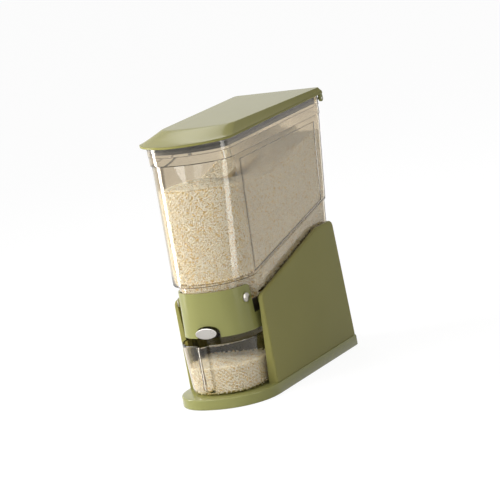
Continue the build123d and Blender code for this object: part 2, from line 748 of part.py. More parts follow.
with BuildPart() as housing_screws:
    screw_top = HOUSING_FOOT + HOUSING_SCREW_LONG
    posts(mirrored(HOUSING_SCREW_SPOTS), HOUSING_SCREW_RADIUS, HOUSING_FOOT - 1, screw_top)
    posts(
        mirrored(HOUSING_SCREW_SPOTS),
        HOUSING_SCREW_HEAD,
        HOUSING_FOOT - 2,
        HOUSING_FOOT - PIN_FIT,
    )
housing_screws.part.label = "housing_screws"

with BuildPart() as flap_pin:
    side_disc(PIVOT, PIN_RADIUS, -PIN_HALF_LONG, PIN_HALF_LONG)
    chamfer(flap_pin.edges(), 0.3)
flap_pin.part.label = "flap_pin"

# ---------------------------------------------------------------- flap and its spring
FLAP_TOP = CAVITY_TOP - REST_GAP - 0.1
FLAP_FOOT = FLAP_TOP - FLAP_THICKNESS
with BuildPart() as gate_flap:
    box((-FLAP_HALF_WIDTH, FLAP_HALF_WIDTH), FLAP_Y, (FLAP_FOOT, FLAP_TOP))
    fillet(gate_flap.edges().filter_by(Axis.Z).group_by(Axis.Y)[0], 4)
    box((-EAR_OUTSIDE, EAR_OUTSIDE), (PIVOT[0] - 8, PIVOT[0] - 2), (FLAP_FOOT, FLAP_TOP))
    box((-FLAP_HALF_WIDTH, FLAP_HALF_WIDTH), (-128.0, -126.6), (FLAP_FOOT - 1.2, FLAP_TOP - 1))
    for side in (1, -1):
        with BuildSketch(Plane.YZ.offset(side * EAR_INSIDE)) as ear:
            with BuildLine():
                Polyline(
                    (PIVOT[0] - 8, FLAP_TOP),
                    (PIVOT[0] - 2, FLAP_TOP),
                    (PIVOT[0] + EAR_RADIUS - 0.4, PIVOT[1] + 1),
                    (PIVOT[0], PIVOT[1] - 2),
                    close=True,
                )
            make_face()
            with Locations(PIVOT):
                Circle(EAR_RADIUS)
            with Locations((PIVOT[0], PIVOT[1] - CRANK_LONG / 2)):
                Rectangle(CRANK_THICK, CRANK_LONG)
        extrude(ear.sketch, amount=side * (EAR_OUTSIDE - EAR_INSIDE))
    side_disc(PIVOT, PIN_RADIUS + PIN_FIT, -PLATE_HALF_WIDTH, PLATE_HALF_WIDTH, Mode.SUBTRACT)
gate_flap.part.label = "gate_flap"

with BuildPart() as flap_spring:
    with BuildLine() as coil:
        Helix(
            pitch=2 * SPRING_HALF_LONG / SPRING_TURNS,
            height=2 * SPRING_HALF_LONG,
            radius=SPRING_RADIUS,
            center=(-SPRING_HALF_LONG, PIVOT[0], PIVOT[1]),
            direction=(1, 0, 0),
        )
    with BuildSketch(Plane(origin=coil.line @ 0, z_dir=coil.line % 0)):
        Circle(SPRING_WIRE_RADIUS)
    sweep(is_frenet=True)
    for end in (0, 1):
        start = coil.line @ end
        rise = FLAP_FOOT - 2 * SPRING_WIRE_RADIUS - start.Z
        tip = Vector(start.X, start.Y - SPRING_LEG, start.Z + rise)
        with BuildSketch(Plane(origin=start, z_dir=tip - start)) as wire:
            Circle(SPRING_WIRE_RADIUS)
        extrude(wire.sketch, amount=(tip - start).length)
flap_spring.part.label = "flap_spring"

# ---------------------------------------------------------------- button and push frame
CAP_REAR = BUTTON_FACE + BUTTON_THICK
LUG_Y = (CAP_REAR + PRESS_FIT, CAP_REAR + PRESS_FIT + LUG_THICK)
ARM_TOP = PIVOT[1] - PAD_TOP_DROP - 6.8
PAD_REAR = PIVOT[0] - CRANK_THICK / 2 - REST_GAP


def front_rounds(x_spots, radius, y_from, y_to, mode=Mode.ADD):
    """Round posts or holes that run front to back at the button's height."""
    with BuildSketch(Plane.XZ.offset(-y_from)) as rounds:
        with Locations(*[(x, BUTTON_HEIGHT) for x in x_spots]):
            Circle(radius)
    extrude(rounds.sketch, amount=y_from - y_to, mode=mode)


with BuildPart() as button_cap:
    with BuildSketch(Plane.XZ.offset(-CAP_REAR)):
        with Locations((0, BUTTON_HEIGHT)):
            Ellipse(BUTTON_HALF_WIDTH, BUTTON_HALF_HEIGHT)
    extrude(amount=BUTTON_THICK)
    fillet(button_cap.faces().sort_by(Axis.Y)[0].edges(), 1.6)
    screw_room = BUTTON_SCREW_RADIUS + PRESS_FIT
    front_rounds((-BUTTON_SCREW_X, BUTTON_SCREW_X), screw_room, CAP_REAR + 1, CAP_REAR - 3, Mode.SUBTRACT)
button_cap.part.label = "button_cap"

with BuildPart() as push_frame:
    box((-STEM_HALF_WIDTH, STEM_HALF_WIDTH), LUG_Y, (FRAME_FOOT + 1.2, LUG_TOP))
    bar_top = FRAME_FOOT + FRAME_BAR_TALL
    box((-STEM_HALF_WIDTH, STEM_HALF_WIDTH), (LUG_Y[0], FRAME_BAR_Y[1]), (FRAME_FOOT + 1.2, bar_top))
    box((-EAR_OUTSIDE, EAR_OUTSIDE), FRAME_BAR_Y, (FRAME_FOOT, bar_top))
    for side in (1, -1):
        arm_x = (side * (EAR_INSIDE + 0.2), side * EAR_OUTSIDE)
        box(arm_x, FRAME_BAR_Y, (FRAME_FOOT, ARM_TOP))
        box(arm_x, (FRAME_BAR_Y[0], PAD_REAR), (ARM_TOP - ARM_TALL, ARM_TOP))
        box(arm_x, (PAD_REAR - PAD_THICK, PAD_REAR), (ARM_TOP - 1, PIVOT[1] - PAD_TOP_DROP))
    front_rounds(
        (-BUTTON_SCREW_X, BUTTON_SCREW_X),
        BUTTON_SCREW_RADIUS + PIN_FIT,
        LUG_Y[1] + 1,
        LUG_Y[0] - 1,
        Mode.SUBTRACT,
    )
push_frame.part.label = "push_frame"

with BuildPart() as button_screws:
    head_rear = LUG_Y[1] + PRESS_FIT + 1.4
    front_rounds(
        (-BUTTON_SCREW_X, BUTTON_SCREW_X), BUTTON_SCREW_HEAD, head_rear, LUG_Y[1] + PRESS_FIT
    )
    front_rounds((-BUTTON_SCREW_X, BUTTON_SCREW_X), BUTTON_SCREW_RADIUS, head_rear - 1, CAP_REAR - 2.6)
button_screws.part.label = "button_screws"


# ---------------------------------------------------------------- lid
def lid_plan(height, share, inset):
    """Plan of the lid between its rim (share 0) and its flat top (share 1)."""
    plan = [low + share * (high - low) for low, high in zip(RIM_PLAN, PLATEAU_PLAN)]
    half_width, rear, start, front, power, corner = plan
    return outline(height, half_width - inset, rear - inset, start, front + inset, power, corner)


def lid_body(inset):
    """Rim band and the hollow-curved rise to the flat top, inset by a wall."""
    foot = LID_FOOT if inset == 0 else LID_FOOT - 1
    rim = LID_FOOT + LID_EDGE if inset == 0 else LID_FOOT + LID_EDGE - inset / 2
    top = LID_TOP - inset
    extrude(lid_plan(foot, 0, inset), amount=rim - foot)
    sections = []
    for step in range(LID_STEPS + 1):
        share = step / LID_STEPS
        sections.append(lid_plan(rim + (top - rim) * share**2, share, inset))
    loft(sections, ruled=True)


with BuildPart() as lid_room:
    lid_body(LID_WALL)
with BuildPart() as lid_shell:
    lid_body(0)
    add(lid_room.part, mode=Mode.SUBTRACT)
    posts(mirrored(LID_SCREW_SPOTS), LID_BOSS_RADIUS, LID_FOOT + LINER_THICK + 0.3, LID_TOP - 1)
    posts(
        mirrored(LID_SCREW_SPOTS),
        LID_SCREW_RADIUS + PRESS_FIT,
        LID_FOOT,
        LID_FOOT + LID_SCREW_LONG + 0.6,
        Mode.SUBTRACT,
    )
    for side in (1, -1):
        with BuildSketch(Plane.YZ.offset(side * LID_EAR_INSIDE)) as lug:
            with Locations(HINGE):
                Circle(LID_EAR_RADIUS)
            with Locations((HINGE[0] - 0.4, (HINGE[1] + LID_FOOT) / 2 + 0.9)):
                Rectangle(2 * LID_EAR_RADIUS - 0.8, LID_FOOT - HINGE[1] + 1.8)
        extrude(lug.sketch, amount=side * LID_EAR_THICK)
        ear_outside = side * (LID_EAR_INSIDE + LID_EAR_THICK + 1)
        hinge_room = HINGE_PIN_RADIUS + PIN_FIT
        side_disc(HINGE, hinge_room, side * (LID_EAR_INSIDE - 1), ear_outside, Mode.SUBTRACT)
lid_shell.part.label = "lid_shell"

with BuildPart() as hinge_pins:
    pin_inside = RING_HALF_WIDTH - WALL + 0.4
    pin_outside = LID_EAR_INSIDE + LID_EAR_THICK + 0.4
    for side in (1, -1):
        side_disc(HINGE, HINGE_PIN_RADIUS, side * pin_inside, side * pin_outside)
    chamfer(hinge_pins.edges().filter_by(GeomType.CIRCLE), 0.3)
hinge_pins.part.label = "hinge_pins"

SKIRT_HALF_WIDTH = RING_HALF_WIDTH - RING_SETBACK - WALL - SKIRT_GAP
SKIRT_FRONT = RING_FRONT + RING_SETBACK + WALL + SKIRT_GAP


def skirt_plan(foot, top, inset, mode=Mode.ADD):
    """Band inside the hopper's mouth, inset by a wall."""
    prism(
        foot,
        top,
        SKIRT_HALF_WIDTH - inset,
        SKIRT_REAR - inset,
        RING_BOW_START,
        SKIRT_FRONT + inset,
        RING_POWER,
        5.0,
        mode=mode,
    )


with BuildPart() as seal_band:
    skirt_plan(GASKET_FOOT, GASKET_FOOT + GASKET_TALL, -GASKET_OUT)
with BuildPart() as seal_core:
    skirt_plan(GASKET_FOOT, GASKET_FOOT + GASKET_TALL, GASKET_IN)
with BuildPart() as lid_gasket:
    add(seal_band.part)
    skirt_plan(GASKET_FOOT, GASKET_FOOT + GASKET_TALL, GASKET_IN - PIN_FIT, Mode.SUBTRACT)
lid_gasket.part.label = "lid_gasket"

with BuildPart() as groove_room:
    skirt_plan(GASKET_FOOT - PIN_FIT, GASKET_FOOT + GASKET_TALL + PIN_FIT, -1)
    skirt_plan(GASKET_FOOT - 1, GASKET_FOOT + GASKET_TALL + 1, GASKET_IN, Mode.SUBTRACT)
with BuildPart() as lid_liner:
    prism(
        LID_FOOT,
        LID_FOOT + LINER_THICK,
        LINER_HALF_WIDTH,
        LINER_REAR,
        RING_BOW_START,
        LINER_FRONT,
        RING_POWER,
        6.0,
    )
    skirt_plan(SKIRT_FOOT, LID_FOOT, 0)
    skirt_plan(SKIRT_FOOT - 1, LID_FOOT, SKIRT_WALL, Mode.SUBTRACT)
    add(groove_room.part, mode=Mode.SUBTRACT)
    posts(
        mirrored(LID_SCREW_SPOTS),
        LID_SCREW_RADIUS + PIN_FIT,
        LID_FOOT - 1,
        LID_FOOT + LINER_THICK + 1,
        Mode.SUBTRACT,
    )
lid_liner.part.label = "lid_liner"

with BuildPart() as liner_screws:
    head_foot = LID_FOOT - LID_SCREW_HEAD_TALL - PIN_FIT
    posts(mirrored(LID_SCREW_SPOTS), LID_SCREW_HEAD, head_foot, LID_FOOT - PIN_FIT)
    posts(mirrored(LID_SCREW_SPOTS), LID_SCREW_RADIUS, LID_FOOT - 1, LID_FOOT + LID_SCREW_LONG)
liner_screws.part.label = "liner_screws"

# ---------------------------------------------------------------- cup
CUP_FOOT = PLATE_TOP + REST_GAP


def cup_plan(height, inset):
    """Plan of the cup at a height, narrower at its foot, inset by a wall."""
    share = (CUP_RIM - height) / (CUP_RIM - CUP_FOOT)
    half_width = CUP_HALF_WIDTH - share * CUP_TAPER - inset
    front = CUP_FRONT - share * CUP_FRONT_LEAN + inset
    corner = CUP_REAR_CORNER - inset
    return outline(height, half_width, CUP_REAR - inset, CUP_BOW_START, front, CUP_POWER, corner)


def cup_body(foot, top, inset):
    """Cup body with a rounded foot, inset by a wall."""
    radius = CUP_FOOT_ROUND - inset
    sections = []
    for step in range(FOOT_STEPS + 1):
        turn = math.pi / 2 * step / FOOT_STEPS
        height = foot + radius * (1 - math.cos(turn))
        sections.append(cup_plan(height, inset + radius * (1 - math.sin(turn))))
    sections.append(cup_plan(top, inset))
    loft(sections, ruled=True)


def grip_plan(height, inset):
    """Plan of the hollow grip column at a height, inset by a wall."""
    share = (CUP_RIM - height) / (CUP_RIM - CUP_FOOT)
    depth = GRIP_TOP_DEPTH + share * (GRIP_FOOT_DEPTH - GRIP_TOP_DEPTH)
    front = CUP_FRONT - share * CUP_FRONT_LEAN - depth + inset
    rear = CUP_FRONT + 2 * GRIP_WALL
    half_width = GRIP_HALF_WIDTH - inset
    with BuildSketch(Plane.XY.offset(height)) as plan:
        with Locations((0, (front + rear) / 2)):
            RectangleRounded(2 * half_width, rear - front, GRIP_ROUND - inset)
    return plan.sketch


with BuildPart() as cup_room:
    cup_body(CUP_FOOT + CUP_WALL, CUP_RIM + 0.01, CUP_WALL)
with BuildPart() as grip_room:
    loft(
        [grip_plan(GRIP_FOOT + GRIP_WALL, GRIP_WALL), grip_plan(CUP_RIM + 0.01, GRIP_WALL)],
        ruled=True,
    )
with BuildPart() as grip_body:
    loft([grip_plan(GRIP_FOOT, 0), grip_plan(CUP_RIM, 0)], ruled=True)
    fillet(grip_body.faces().sort_by(Axis.Z)[0].edges(), 2.5)
with BuildPart() as measuring_cup:
    cup_body(CUP_FOOT, CUP_RIM, 0)
    add(grip_body.part)
    add(grip_room.part, mode=Mode.SUBTRACT)
    add(cup_room.part, mode=Mode.SUBTRACT)
measuring_cup.part.label = "measuring_cup"

with BuildPart() as rice_in_cup:
    rice_inset = CUP_WALL + REST_GAP
    cup_body(CUP_FOOT + rice_inset, CUP_RICE_TOP, rice_inset)
rice_in_cup.part.label = "rice_in_cup"

# ---------------------------------------------------------------- files
PIECES = [
    base_plate,
    rubber_feet,
    plate_screws,
    stand_shell,
    hopper,
    rice_in_hopper,
    outlet_collar,
    collar_screws,
    gate_housing,
    housing_screws,
    flap_pin,
    gate_flap,
    flap_spring,
    button_cap,
    push_frame,
    button_screws,
    lid_shell,
    hinge_pins,
    lid_liner,
    lid_gasket,
    liner_screws,
    measuring_cup,
    rice_in_cup,
]
os.makedirs("parts", exist_ok=True)
for piece in PIECES:
    export_step(piece.part, f"parts/{piece.part.label}.step")
    size = piece.part.bounding_box().size
    print(
        f"{piece.part.label}: {len(piece.part.solids())} solids, "
        f"{size.X:.1f} x {size.Y:.1f} x {size.Z:.1f}, valid {piece.part.is_valid}"
    )
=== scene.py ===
# %% [markdown]
# # A rice dispenser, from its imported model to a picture
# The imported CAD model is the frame: every size and every joint comes from it. This lesson
# dresses that frame. Plastic shells are computed as smooth surfaces, the rice is made of real
# grains, and each finish is a small node material. Sizes of the object are written in
# millimetres and turned into metres by MM. The stage and the finishes are in metres.

# %% Load the frame
import math

import bmesh
import bpy
import numpy as np
from mathutils import Matrix


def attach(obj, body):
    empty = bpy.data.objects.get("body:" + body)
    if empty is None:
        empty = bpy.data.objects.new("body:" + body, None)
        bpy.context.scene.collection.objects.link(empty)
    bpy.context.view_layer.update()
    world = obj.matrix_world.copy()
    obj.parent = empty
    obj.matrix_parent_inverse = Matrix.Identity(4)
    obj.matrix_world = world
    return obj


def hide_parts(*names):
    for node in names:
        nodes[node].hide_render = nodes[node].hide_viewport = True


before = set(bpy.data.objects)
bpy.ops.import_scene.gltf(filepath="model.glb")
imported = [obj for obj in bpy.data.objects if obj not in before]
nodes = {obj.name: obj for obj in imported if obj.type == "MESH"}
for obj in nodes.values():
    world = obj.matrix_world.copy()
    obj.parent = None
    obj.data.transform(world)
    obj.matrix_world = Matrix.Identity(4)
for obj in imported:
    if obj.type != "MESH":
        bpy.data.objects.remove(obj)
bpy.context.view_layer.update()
MM = 0.001

# %% [markdown]
# ## Camera
# The photograph looks down a little from the front right, with the object leaning in the
# frame. The camera aims at a point on the object, and its roll gives that lean. The photograph
# was taken from far away with a long lens, so upright edges hardly converge.

# %% Camera
AIM = np.array([0.0, 8.9, 173.48]) * MM
TURN, LIFT, ROLL = np.radians([28.6, 10.36, 10.65])
DISTANCE = 4960.3 * MM
FOCAL_SHARE = 3669.96 / 500.0
SENSOR_WIDTH = 36.0
SIGHT_END = 100.0


def direction(vectors):
    """Vectors at length one."""
    return vectors / np.linalg.norm(vectors, axis=-1, keepdims=True)


def new_object(name, data):
    """An object with this data, in the scene."""
    made = bpy.data.objects.new(name, data)
    bpy.context.scene.collection.objects.link(made)
    return made


def placed(axes, place):
    """Matrix of an object with these right, up and back axes at a place."""
    matrix = np.eye(4)
    matrix[:3] = np.stack([*axes, place], axis=-1)
    return Matrix(matrix.tolist())


def camera_axes(turn, lift, roll):
    """Right, up and back of a camera turned about Z, lifted, then rolled about its own view."""
    back = np.array([np.sin(turn) * np.cos(lift), -np.cos(turn) * np.cos(lift), np.sin(lift)])
    right = direction(np.cross(-back, [0, 0, 1]))
    up = np.cross(right, -back)
    return np.cos(roll) * right - np.sin(roll) * up, np.cos(roll) * up + np.sin(roll) * right, back


def place_camera():
    """The camera stands at the aim plus the distance along its back axis."""
    axes = camera_axes(TURN, LIFT, ROLL)
    data = bpy.data.cameras.new("photo_camera")
    data.sensor_width = SENSOR_WIDTH
    data.lens = FOCAL_SHARE * data.sensor_width
    data.clip_end = SIGHT_END
    camera = new_object("photo_camera", data)
    camera.matrix_world = placed(axes, AIM + DISTANCE * axes[2])
    bpy.context.scene.camera = camera
    return data.lens


print("camera lens:", round(place_camera(), 1), "mm")

# %% [markdown]
# ## Node helpers
# Materials are easier to read when a node is made and wired in one line. Two effects are used
# by many finishes, so each is a node group: soft smudges that change roughness and tone, and
# a fine grain that gives a bump its height.

# %% Node helpers
def wire(tree, node, inputs):
    """Set inputs by name or position: a value is linked when it is a socket, else written."""
    for key, value in inputs.items():
        if isinstance(value, bpy.types.NodeSocket):
            tree.links.new(value, node.inputs[key])
        else:
            node.inputs[key].default_value = value


def add_node(tree, kind, inputs=None, **settings):
    """A node with its settings and its inputs set."""
    node = tree.nodes.new(kind)
    for key, value in settings.items():
        setattr(node, key, value)
    wire(tree, node, inputs or {})
    return node


def math_of(tree, operation, first, second):
    """Result of one operation on two values."""
    return add_node(tree, "ShaderNodeMath", {0: first, 1: second}, operation=operation).outputs[0]


def mix_colours(tree, factor, first, second, blend="MIX"):
    """A colour between two, each of them a socket or three numbers."""
    sides = [c if isinstance(c, bpy.types.NodeSocket) else (*c, 1) for c in (first, second)]
    inputs = {"Factor": factor, 6: sides[0], 7: sides[1]}
    return add_node(tree, "ShaderNodeMix", inputs, data_type="RGBA", blend_type=blend).outputs[2]


def attribute(tree, name):
    """The number that a piece carries under a name."""
    return add_node(tree, "ShaderNodeAttribute", attribute_name=name).outputs["Fac"]


def bump(tree, height, strength, distance):
    """Normals bent by a height."""
    inputs = {"Height": height, "Strength": strength, "Distance": distance}
    return add_node(tree, "ShaderNodeBump", inputs).outputs[0]


def noise_group(name, detail):
    """Group: noise on object coordinates at a scale, spread between a low and a high value."""
    group = bpy.data.node_groups.new(name, "ShaderNodeTree")
    for socket, way in (("Scale", "INPUT"), ("Low", "INPUT"), ("High", "INPUT"), ("Mask", "OUTPUT")):
        group.interface.new_socket(socket, in_out=way, socket_type="NodeSocketFloat")
    enter = group.nodes.new("NodeGroupInput").outputs
    place = group.nodes.new("ShaderNodeTexCoord").outputs["Object"]
    noise = add_node(group, "ShaderNodeTexNoise",
                     {"Vector": place, "Scale": enter["Scale"], "Detail": detail})
    spread = add_node(group, "ShaderNodeMapRange",
                      {"Value": noise.outputs["Fac"], "From Min": 0.3, "From Max": 0.7,
                       "To Min": enter["Low"], "To Max": enter["High"]})
    wire(group, group.nodes.new("NodeGroupOutput"), {"Mask": spread.outputs[0]})
    return group


SMUDGE = noise_group("soft_smudges", 3.0)
GRAIN = noise_group("fine_grain", 6.0)


def group_mask(tree, group, scale, low=0.0, high=1.0):
    """Place a group in a material and give its mask socket."""
    node = tree.nodes.new("ShaderNodeGroup")
    node.node_tree = group
    wire(tree, node, {"Scale": scale, "Low": low, "High": high})
    return node.outputs["Mask"]


def principled(name, slot):
    """A new material for a slot, its node tree, and its Principled shader."""
    material = bpy.data.materials.new(name)
    material.use_nodes = True
    material["record_slot"] = slot
    return material, material.node_tree, material.node_tree.nodes["Principled BSDF"]


def linear(*screen):
    """Screen colour (0 to 255) to light values: the sRGB curve, per channel."""
    share = np.array(screen) / 255.0
    curve = ((share + 0.055) / 1.055) ** 2.4
    return tuple(np.where(share <= 0.04045, share / 12.92, curve).tolist())


print("node groups:", [group.name for group in bpy.data.node_groups])

# %% [markdown]
# ## Floor and light
# A pale floor meets a pale world. What the camera sees of both is white, while the part of
# the floor that is lit keeps a faint shadow under the object. One large soft lamp stands at
# the front left, because the bowed front is the brightest face in the photograph. A strip at
# the right is only seen in reflections, as the pale band down the right of the bow.

# %% Floor, world and lamps
FLOOR_SHADOW_SHARE = 0.16
FLOOR_GLOW = 1.08
FLOOR_TONE = 0.9
FLOOR_HALF = 30.0
WORLD_LEVEL = 0.42


def background_rays(tree):
    """One for rays that should see plain white: camera, glossy and transmission rays."""
    path = tree.nodes.new("ShaderNodeLightPath").outputs
    seen = math_of(tree, "MAXIMUM", path["Is Camera Ray"], path["Is Glossy Ray"])
    return math_of(tree, "MAXIMUM", seen, path["Is Transmission Ray"])


def floor_material():
    """White light mixed with a lit pale surface, so that only a light shadow stays."""
    material = bpy.data.materials.new("pale_floor")
    material.use_nodes = True
    tree = material.node_tree
    tree.nodes.clear()
    lit = add_node(tree, "ShaderNodeBsdfDiffuse", {"Color": (FLOOR_TONE, FLOOR_TONE, FLOOR_TONE, 1)})
    glow = add_node(tree, "ShaderNodeEmission", {"Strength": FLOOR_GLOW})
    share = math_of(tree, "MULTIPLY", background_rays(tree), 1.0 - FLOOR_SHADOW_SHARE)
    mix = add_node(tree, "ShaderNodeMixShader", {0: share, 1: lit.outputs[0], 2: glow.outputs[0]})
    add_node(tree, "ShaderNodeOutputMaterial", {"Surface": mix.outputs[0]})
    return material


def make_floor(half):
    """One square at z = 0, wide enough to reach the horizon."""
    mesh = bpy.data.meshes.new("floor")
    corners = [(-half, -half, 0), (half, -half, 0), (half, half, 0), (-half, half, 0)]
    mesh.from_pydata(corners, [], [(0, 1, 2, 3)])
    mesh.materials.append(floor_material())
    floor = new_object("floor", mesh)


def make_world():
    """White where it is seen, softer where it lights."""
    world = bpy.data.worlds.new("pale_world")
    bpy.context.scene.world = world
    world.use_nodes = True
    tree = world.node_tree
    tree.nodes.clear()
    level = add_node(tree, "ShaderNodeMapRange",
                     {"Value": background_rays(tree), "To Min": WORLD_LEVEL, "To Max": 1.0})
    background = add_node(tree, "ShaderNodeBackground",
                          {"Color": (1, 1, 1, 1), "Strength": level.outputs[0]})
    add_node(tree, "ShaderNodeOutputWorld", {"Surface": background.outputs[0]})


def make_lamp(name, place, size, watts, gloss_only=False):
    """Soft lamp of a width and height, turned to face the aim. One for gloss only makes
    reflections and lights no surface."""
    data = bpy.data.lights.new(name, "AREA")
    data.shape = "RECTANGLE"
    data.size, data.size_y = size
    data.energy = watts
    lamp = new_object(name, data)
    back = direction(np.array(place) - AIM)
    right = direction(np.cross([0, 0, 1], back))
    lamp.matrix_world = placed((right, np.cross(back, right), back), place)
    lamp.visible_diffuse = not gloss_only


bpy.context.scene.view_settings.view_transform = "Standard"
make_floor(FLOOR_HALF)
make_world()
make_lamp("front_left_softbox", (-0.80, -1.05, 0.96), (1.0, 1.4), 18)
make_lamp("left_strip", (-0.80, -0.17, 0.40), (0.16, 0.92), 6.5)
make_lamp("rear_left_softbox", (-0.7, 1.0, 1.2), (0.5, 0.4), 2.0)
make_lamp("top_softbox", (0.1, -0.2, 2.4), (1.0, 1.0), 4)
make_lamp("front_fill", (0.35, -1.6, 0.9), (1.2, 1.2), 6)
make_lamp("right_strip", (0.95, -0.32, 0.40), (0.34, 0.90), 4.4, gloss_only=True)
print("lamps:", [lamp.name for lamp in bpy.data.lights])

# %% [markdown]
# ## Finishes
# The collar and the foot plate are glossy sage-green plastic, and the stand and the lid are
# nearly the same green with a weaker gloss. Two places get painted shade: the button's rounded
# edge, where its faces turn away from the front, and the bay round the cup, where the collar and
# the stand would shade it. Their faces carry a mark that the finish reads.

# %% Opaque finishes
def finish(name, slot, dark, pale, rough, relief, relief_scale, metallic=0.0, ior=1.46):
    """Opaque finish: tone drifts between two colours and roughness between two values."""
    material, tree, shader = principled(name, slot)
    wire(tree, shader, {
        "Base Color": mix_colours(tree, group_mask(tree, SMUDGE, 14.0), dark, pale),
        "Roughness": group_mask(tree, SMUDGE, 45.0, *rough),
        "Normal": bump(tree, group_mask(tree, GRAIN, relief_scale), relief, 0.0002),
        "Metallic": metallic,
        "IOR": ior,
    })
    return material


def paint_shade_marked(material, colour):
    """Painted shade: mix the finish's colour towards a dark one by the piece's attribute called dark."""
    tree = material.node_tree
    base = tree.nodes["Principled BSDF"].inputs["Base Color"]
    plain = base.links[0].from_socket
    tree.links.new(mix_colours(tree, attribute(tree, "dark"), plain, colour), base)


green = finish("sage_green_plastic", "green_plastic", linear(133, 133, 79), linear(135, 135, 81),
               (0.15, 0.17), 0.02, 900.0, ior=1.29)
satin_green = finish("sage_green_satin", "green_plastic", linear(136, 132, 77),
                     linear(138, 134, 79), (0.15, 0.17), 0.02, 900.0, ior=1.13)
liner_grey = finish("liner_grey_plastic", "grey_plastic", linear(66, 64, 60), linear(74, 72, 68),
                    (0.34, 0.46), 0.15, 1500.0)
gate_brown = finish("gate_brown_plastic", "dark_plastic", linear(38, 32, 26), linear(50, 43, 35),
                    (0.38, 0.52), 0.3, 1600.0)
rubber = finish("black_rubber", "dark_rubber", linear(40, 39, 38), linear(52, 51, 50),
                (0.62, 0.78), 0.4, 2200.0)
chrome = finish("brushed_chrome", "bright_chrome", (0.42, 0.40, 0.37), (0.50, 0.48, 0.45),
                (0.24, 0.32), 0.1, 500.0, metallic=1.0)
steel = finish("plain_steel", "steel", (0.40, 0.37, 0.33), (0.50, 0.47, 0.43),
               (0.25, 0.36), 0.1, 1800.0, metallic=1.0)
satin_chrome = finish("satin_chrome", "bright_chrome", (0.36, 0.34, 0.30), (0.46, 0.43, 0.39),
                      (0.25, 0.36), 0.1, 1800.0, metallic=1.0)
# Painted shade on marked faces: near black on the button's turned-away faces and in the stand's bay.
paint_shade_marked(chrome, (0.05, 0.045, 0.035))
paint_shade_marked(satin_green, (0.02, 0.02, 0.01))
print("opaque finishes:", len(bpy.data.materials))

# %% [markdown]
# Clear plastic is a glass shader with a warm tint. Light that meets it at a grazing angle comes
# out browner: partly the longer path through the tinted wall, partly painted shade along curved
# edges. Light that has crossed a far wall comes out darker and browner, which is painted shade
# inside the hopper. Its shadow is let through, because a real clear wall hardly darkens the rice
# behind it. Two numbers on the piece's points change it in places: frost makes it matt, and an
# edge-line number paints a dark line along a moulded edge, painted shade where refraction darkens
# the real wall.

# %% Clear plastic and rice
FROST_ROUGHNESS = 0.13
GRAZING_POWER = 1.5
FAR_WALL_DEPTH = 1.5
# Painted shade: the colour of the dark line along moulded edges.
EDGE_SHADE_TINT = (0.07, 0.05, 0.03)
SHADOW_TINT = (0.98, 0.97, 0.95, 1)


def clear_finish(name, tint, grazing_tint, far_wall_shade, rough):
    """Glass shader with a faint ripple; shadow and diffuse rays pass straight through."""
    material, tree, shader = principled(name, "clear_plastic")
    path = tree.nodes.new("ShaderNodeLightPath").outputs
    facing = add_node(tree, "ShaderNodeLayerWeight", {"Blend": 0.5}).outputs["Facing"]
    # Browner at grazing angles: partly the longer path through the tinted wall, partly painted shade along
    # curved edges.
    colour = mix_colours(tree, math_of(tree, "POWER", facing, GRAZING_POWER), tint, grazing_tint)
    # Painted shade: rays that have already crossed a wall get a darker brown, for the shade inside the
    # hopper.
    far = math_of(tree, "GREATER_THAN", path["Transmission Depth"], FAR_WALL_DEPTH)
    colour = mix_colours(tree, far, colour, far_wall_shade)
    matt = add_node(tree, "ShaderNodeMapRange",
                    {"Value": attribute(tree, "frost"), "To Min": rough, "To Max": FROST_ROUGHNESS})
    wire(tree, shader, {
        # Painted shade: a dark line along moulded edges, where the piece marks one.
        "Base Color": mix_colours(tree, attribute(tree, "edge_shade_line"), colour, EDGE_SHADE_TINT),
        "Roughness": matt.outputs[0],
        "Normal": bump(tree, group_mask(tree, SMUDGE, 60.0), 0.03, 0.0004),
        "Transmission Weight": 1.0,
        "IOR": 1.4,
    })
    through = add_node(tree, "ShaderNodeBsdfTransparent", {"Color": SHADOW_TINT})
    passing = math_of(tree, "MAXIMUM", path["Is Shadow Ray"], path["Is Diffuse Ray"])
    mix = add_node(tree, "ShaderNodeMixShader",
                   {0: passing, 1: shader.outputs[0], 2: through.outputs[0]})
    wire(tree, tree.nodes["Material Output"], {"Surface": mix.outputs[0]})
    return material


def rice_finish():
    """Each grain has a tone from 0 to 1: most are cream, a few are golden, some chalky."""
    material, tree, shader = principled("rice_grains", "rice")
    ramp = add_node(tree, "ShaderNodeValToRGB", {"Fac": attribute(tree, "tone")})
    stops = ramp.color_ramp.elements
    stops[0].position, stops[0].color = 0.0, (*linear(222, 172, 84), 1)
    stops[1].position, stops[1].color = 1.0, (*linear(252, 249, 240), 1)
    for place, colour in ((0.15, (236, 200, 124)), (0.35, (246, 228, 180)), (0.6, (250, 242, 218))):
        stops.new(place).color = (*linear(*colour), 1)
    mask = group_mask(tree, GRAIN, 700.0, 0.86, 1.0)
    streak = add_node(tree, "ShaderNodeCombineColor", dict.fromkeys(("Red", "Green", "Blue"), mask))
    wire(tree, shader, {
        "Base Color": mix_colours(tree, 1.0, ramp.outputs["Color"], streak.outputs[0], "MULTIPLY"),
        "Roughness": group_mask(tree, SMUDGE, 200.0, 0.38, 0.55),
    })
    return material


# Painted colours: a brown for grazing angles, partly real tint, and a darker brown behind a far wall,
# painted shade.
clear = clear_finish("clear_warm_plastic", (0.92, 0.88, 0.80), (0.52, 0.37, 0.14),
                     (0.60, 0.53, 0.42), 0.02)
rice = rice_finish()
print("finishes:", [material.name for material in bpy.data.materials])

# %% [markdown]
# ## Surfaces from arrays
# A shell is a stack of closed plans. Each plan has the same number of points, so a plan is one
# row of a grid and the shell is the grid. Small changes from row to row give rounded edges.

# %% Plans
REAR_POINTS, CORNER_POINTS, SIDE_POINTS, BOW_POINTS = 6, 7, 18, 40


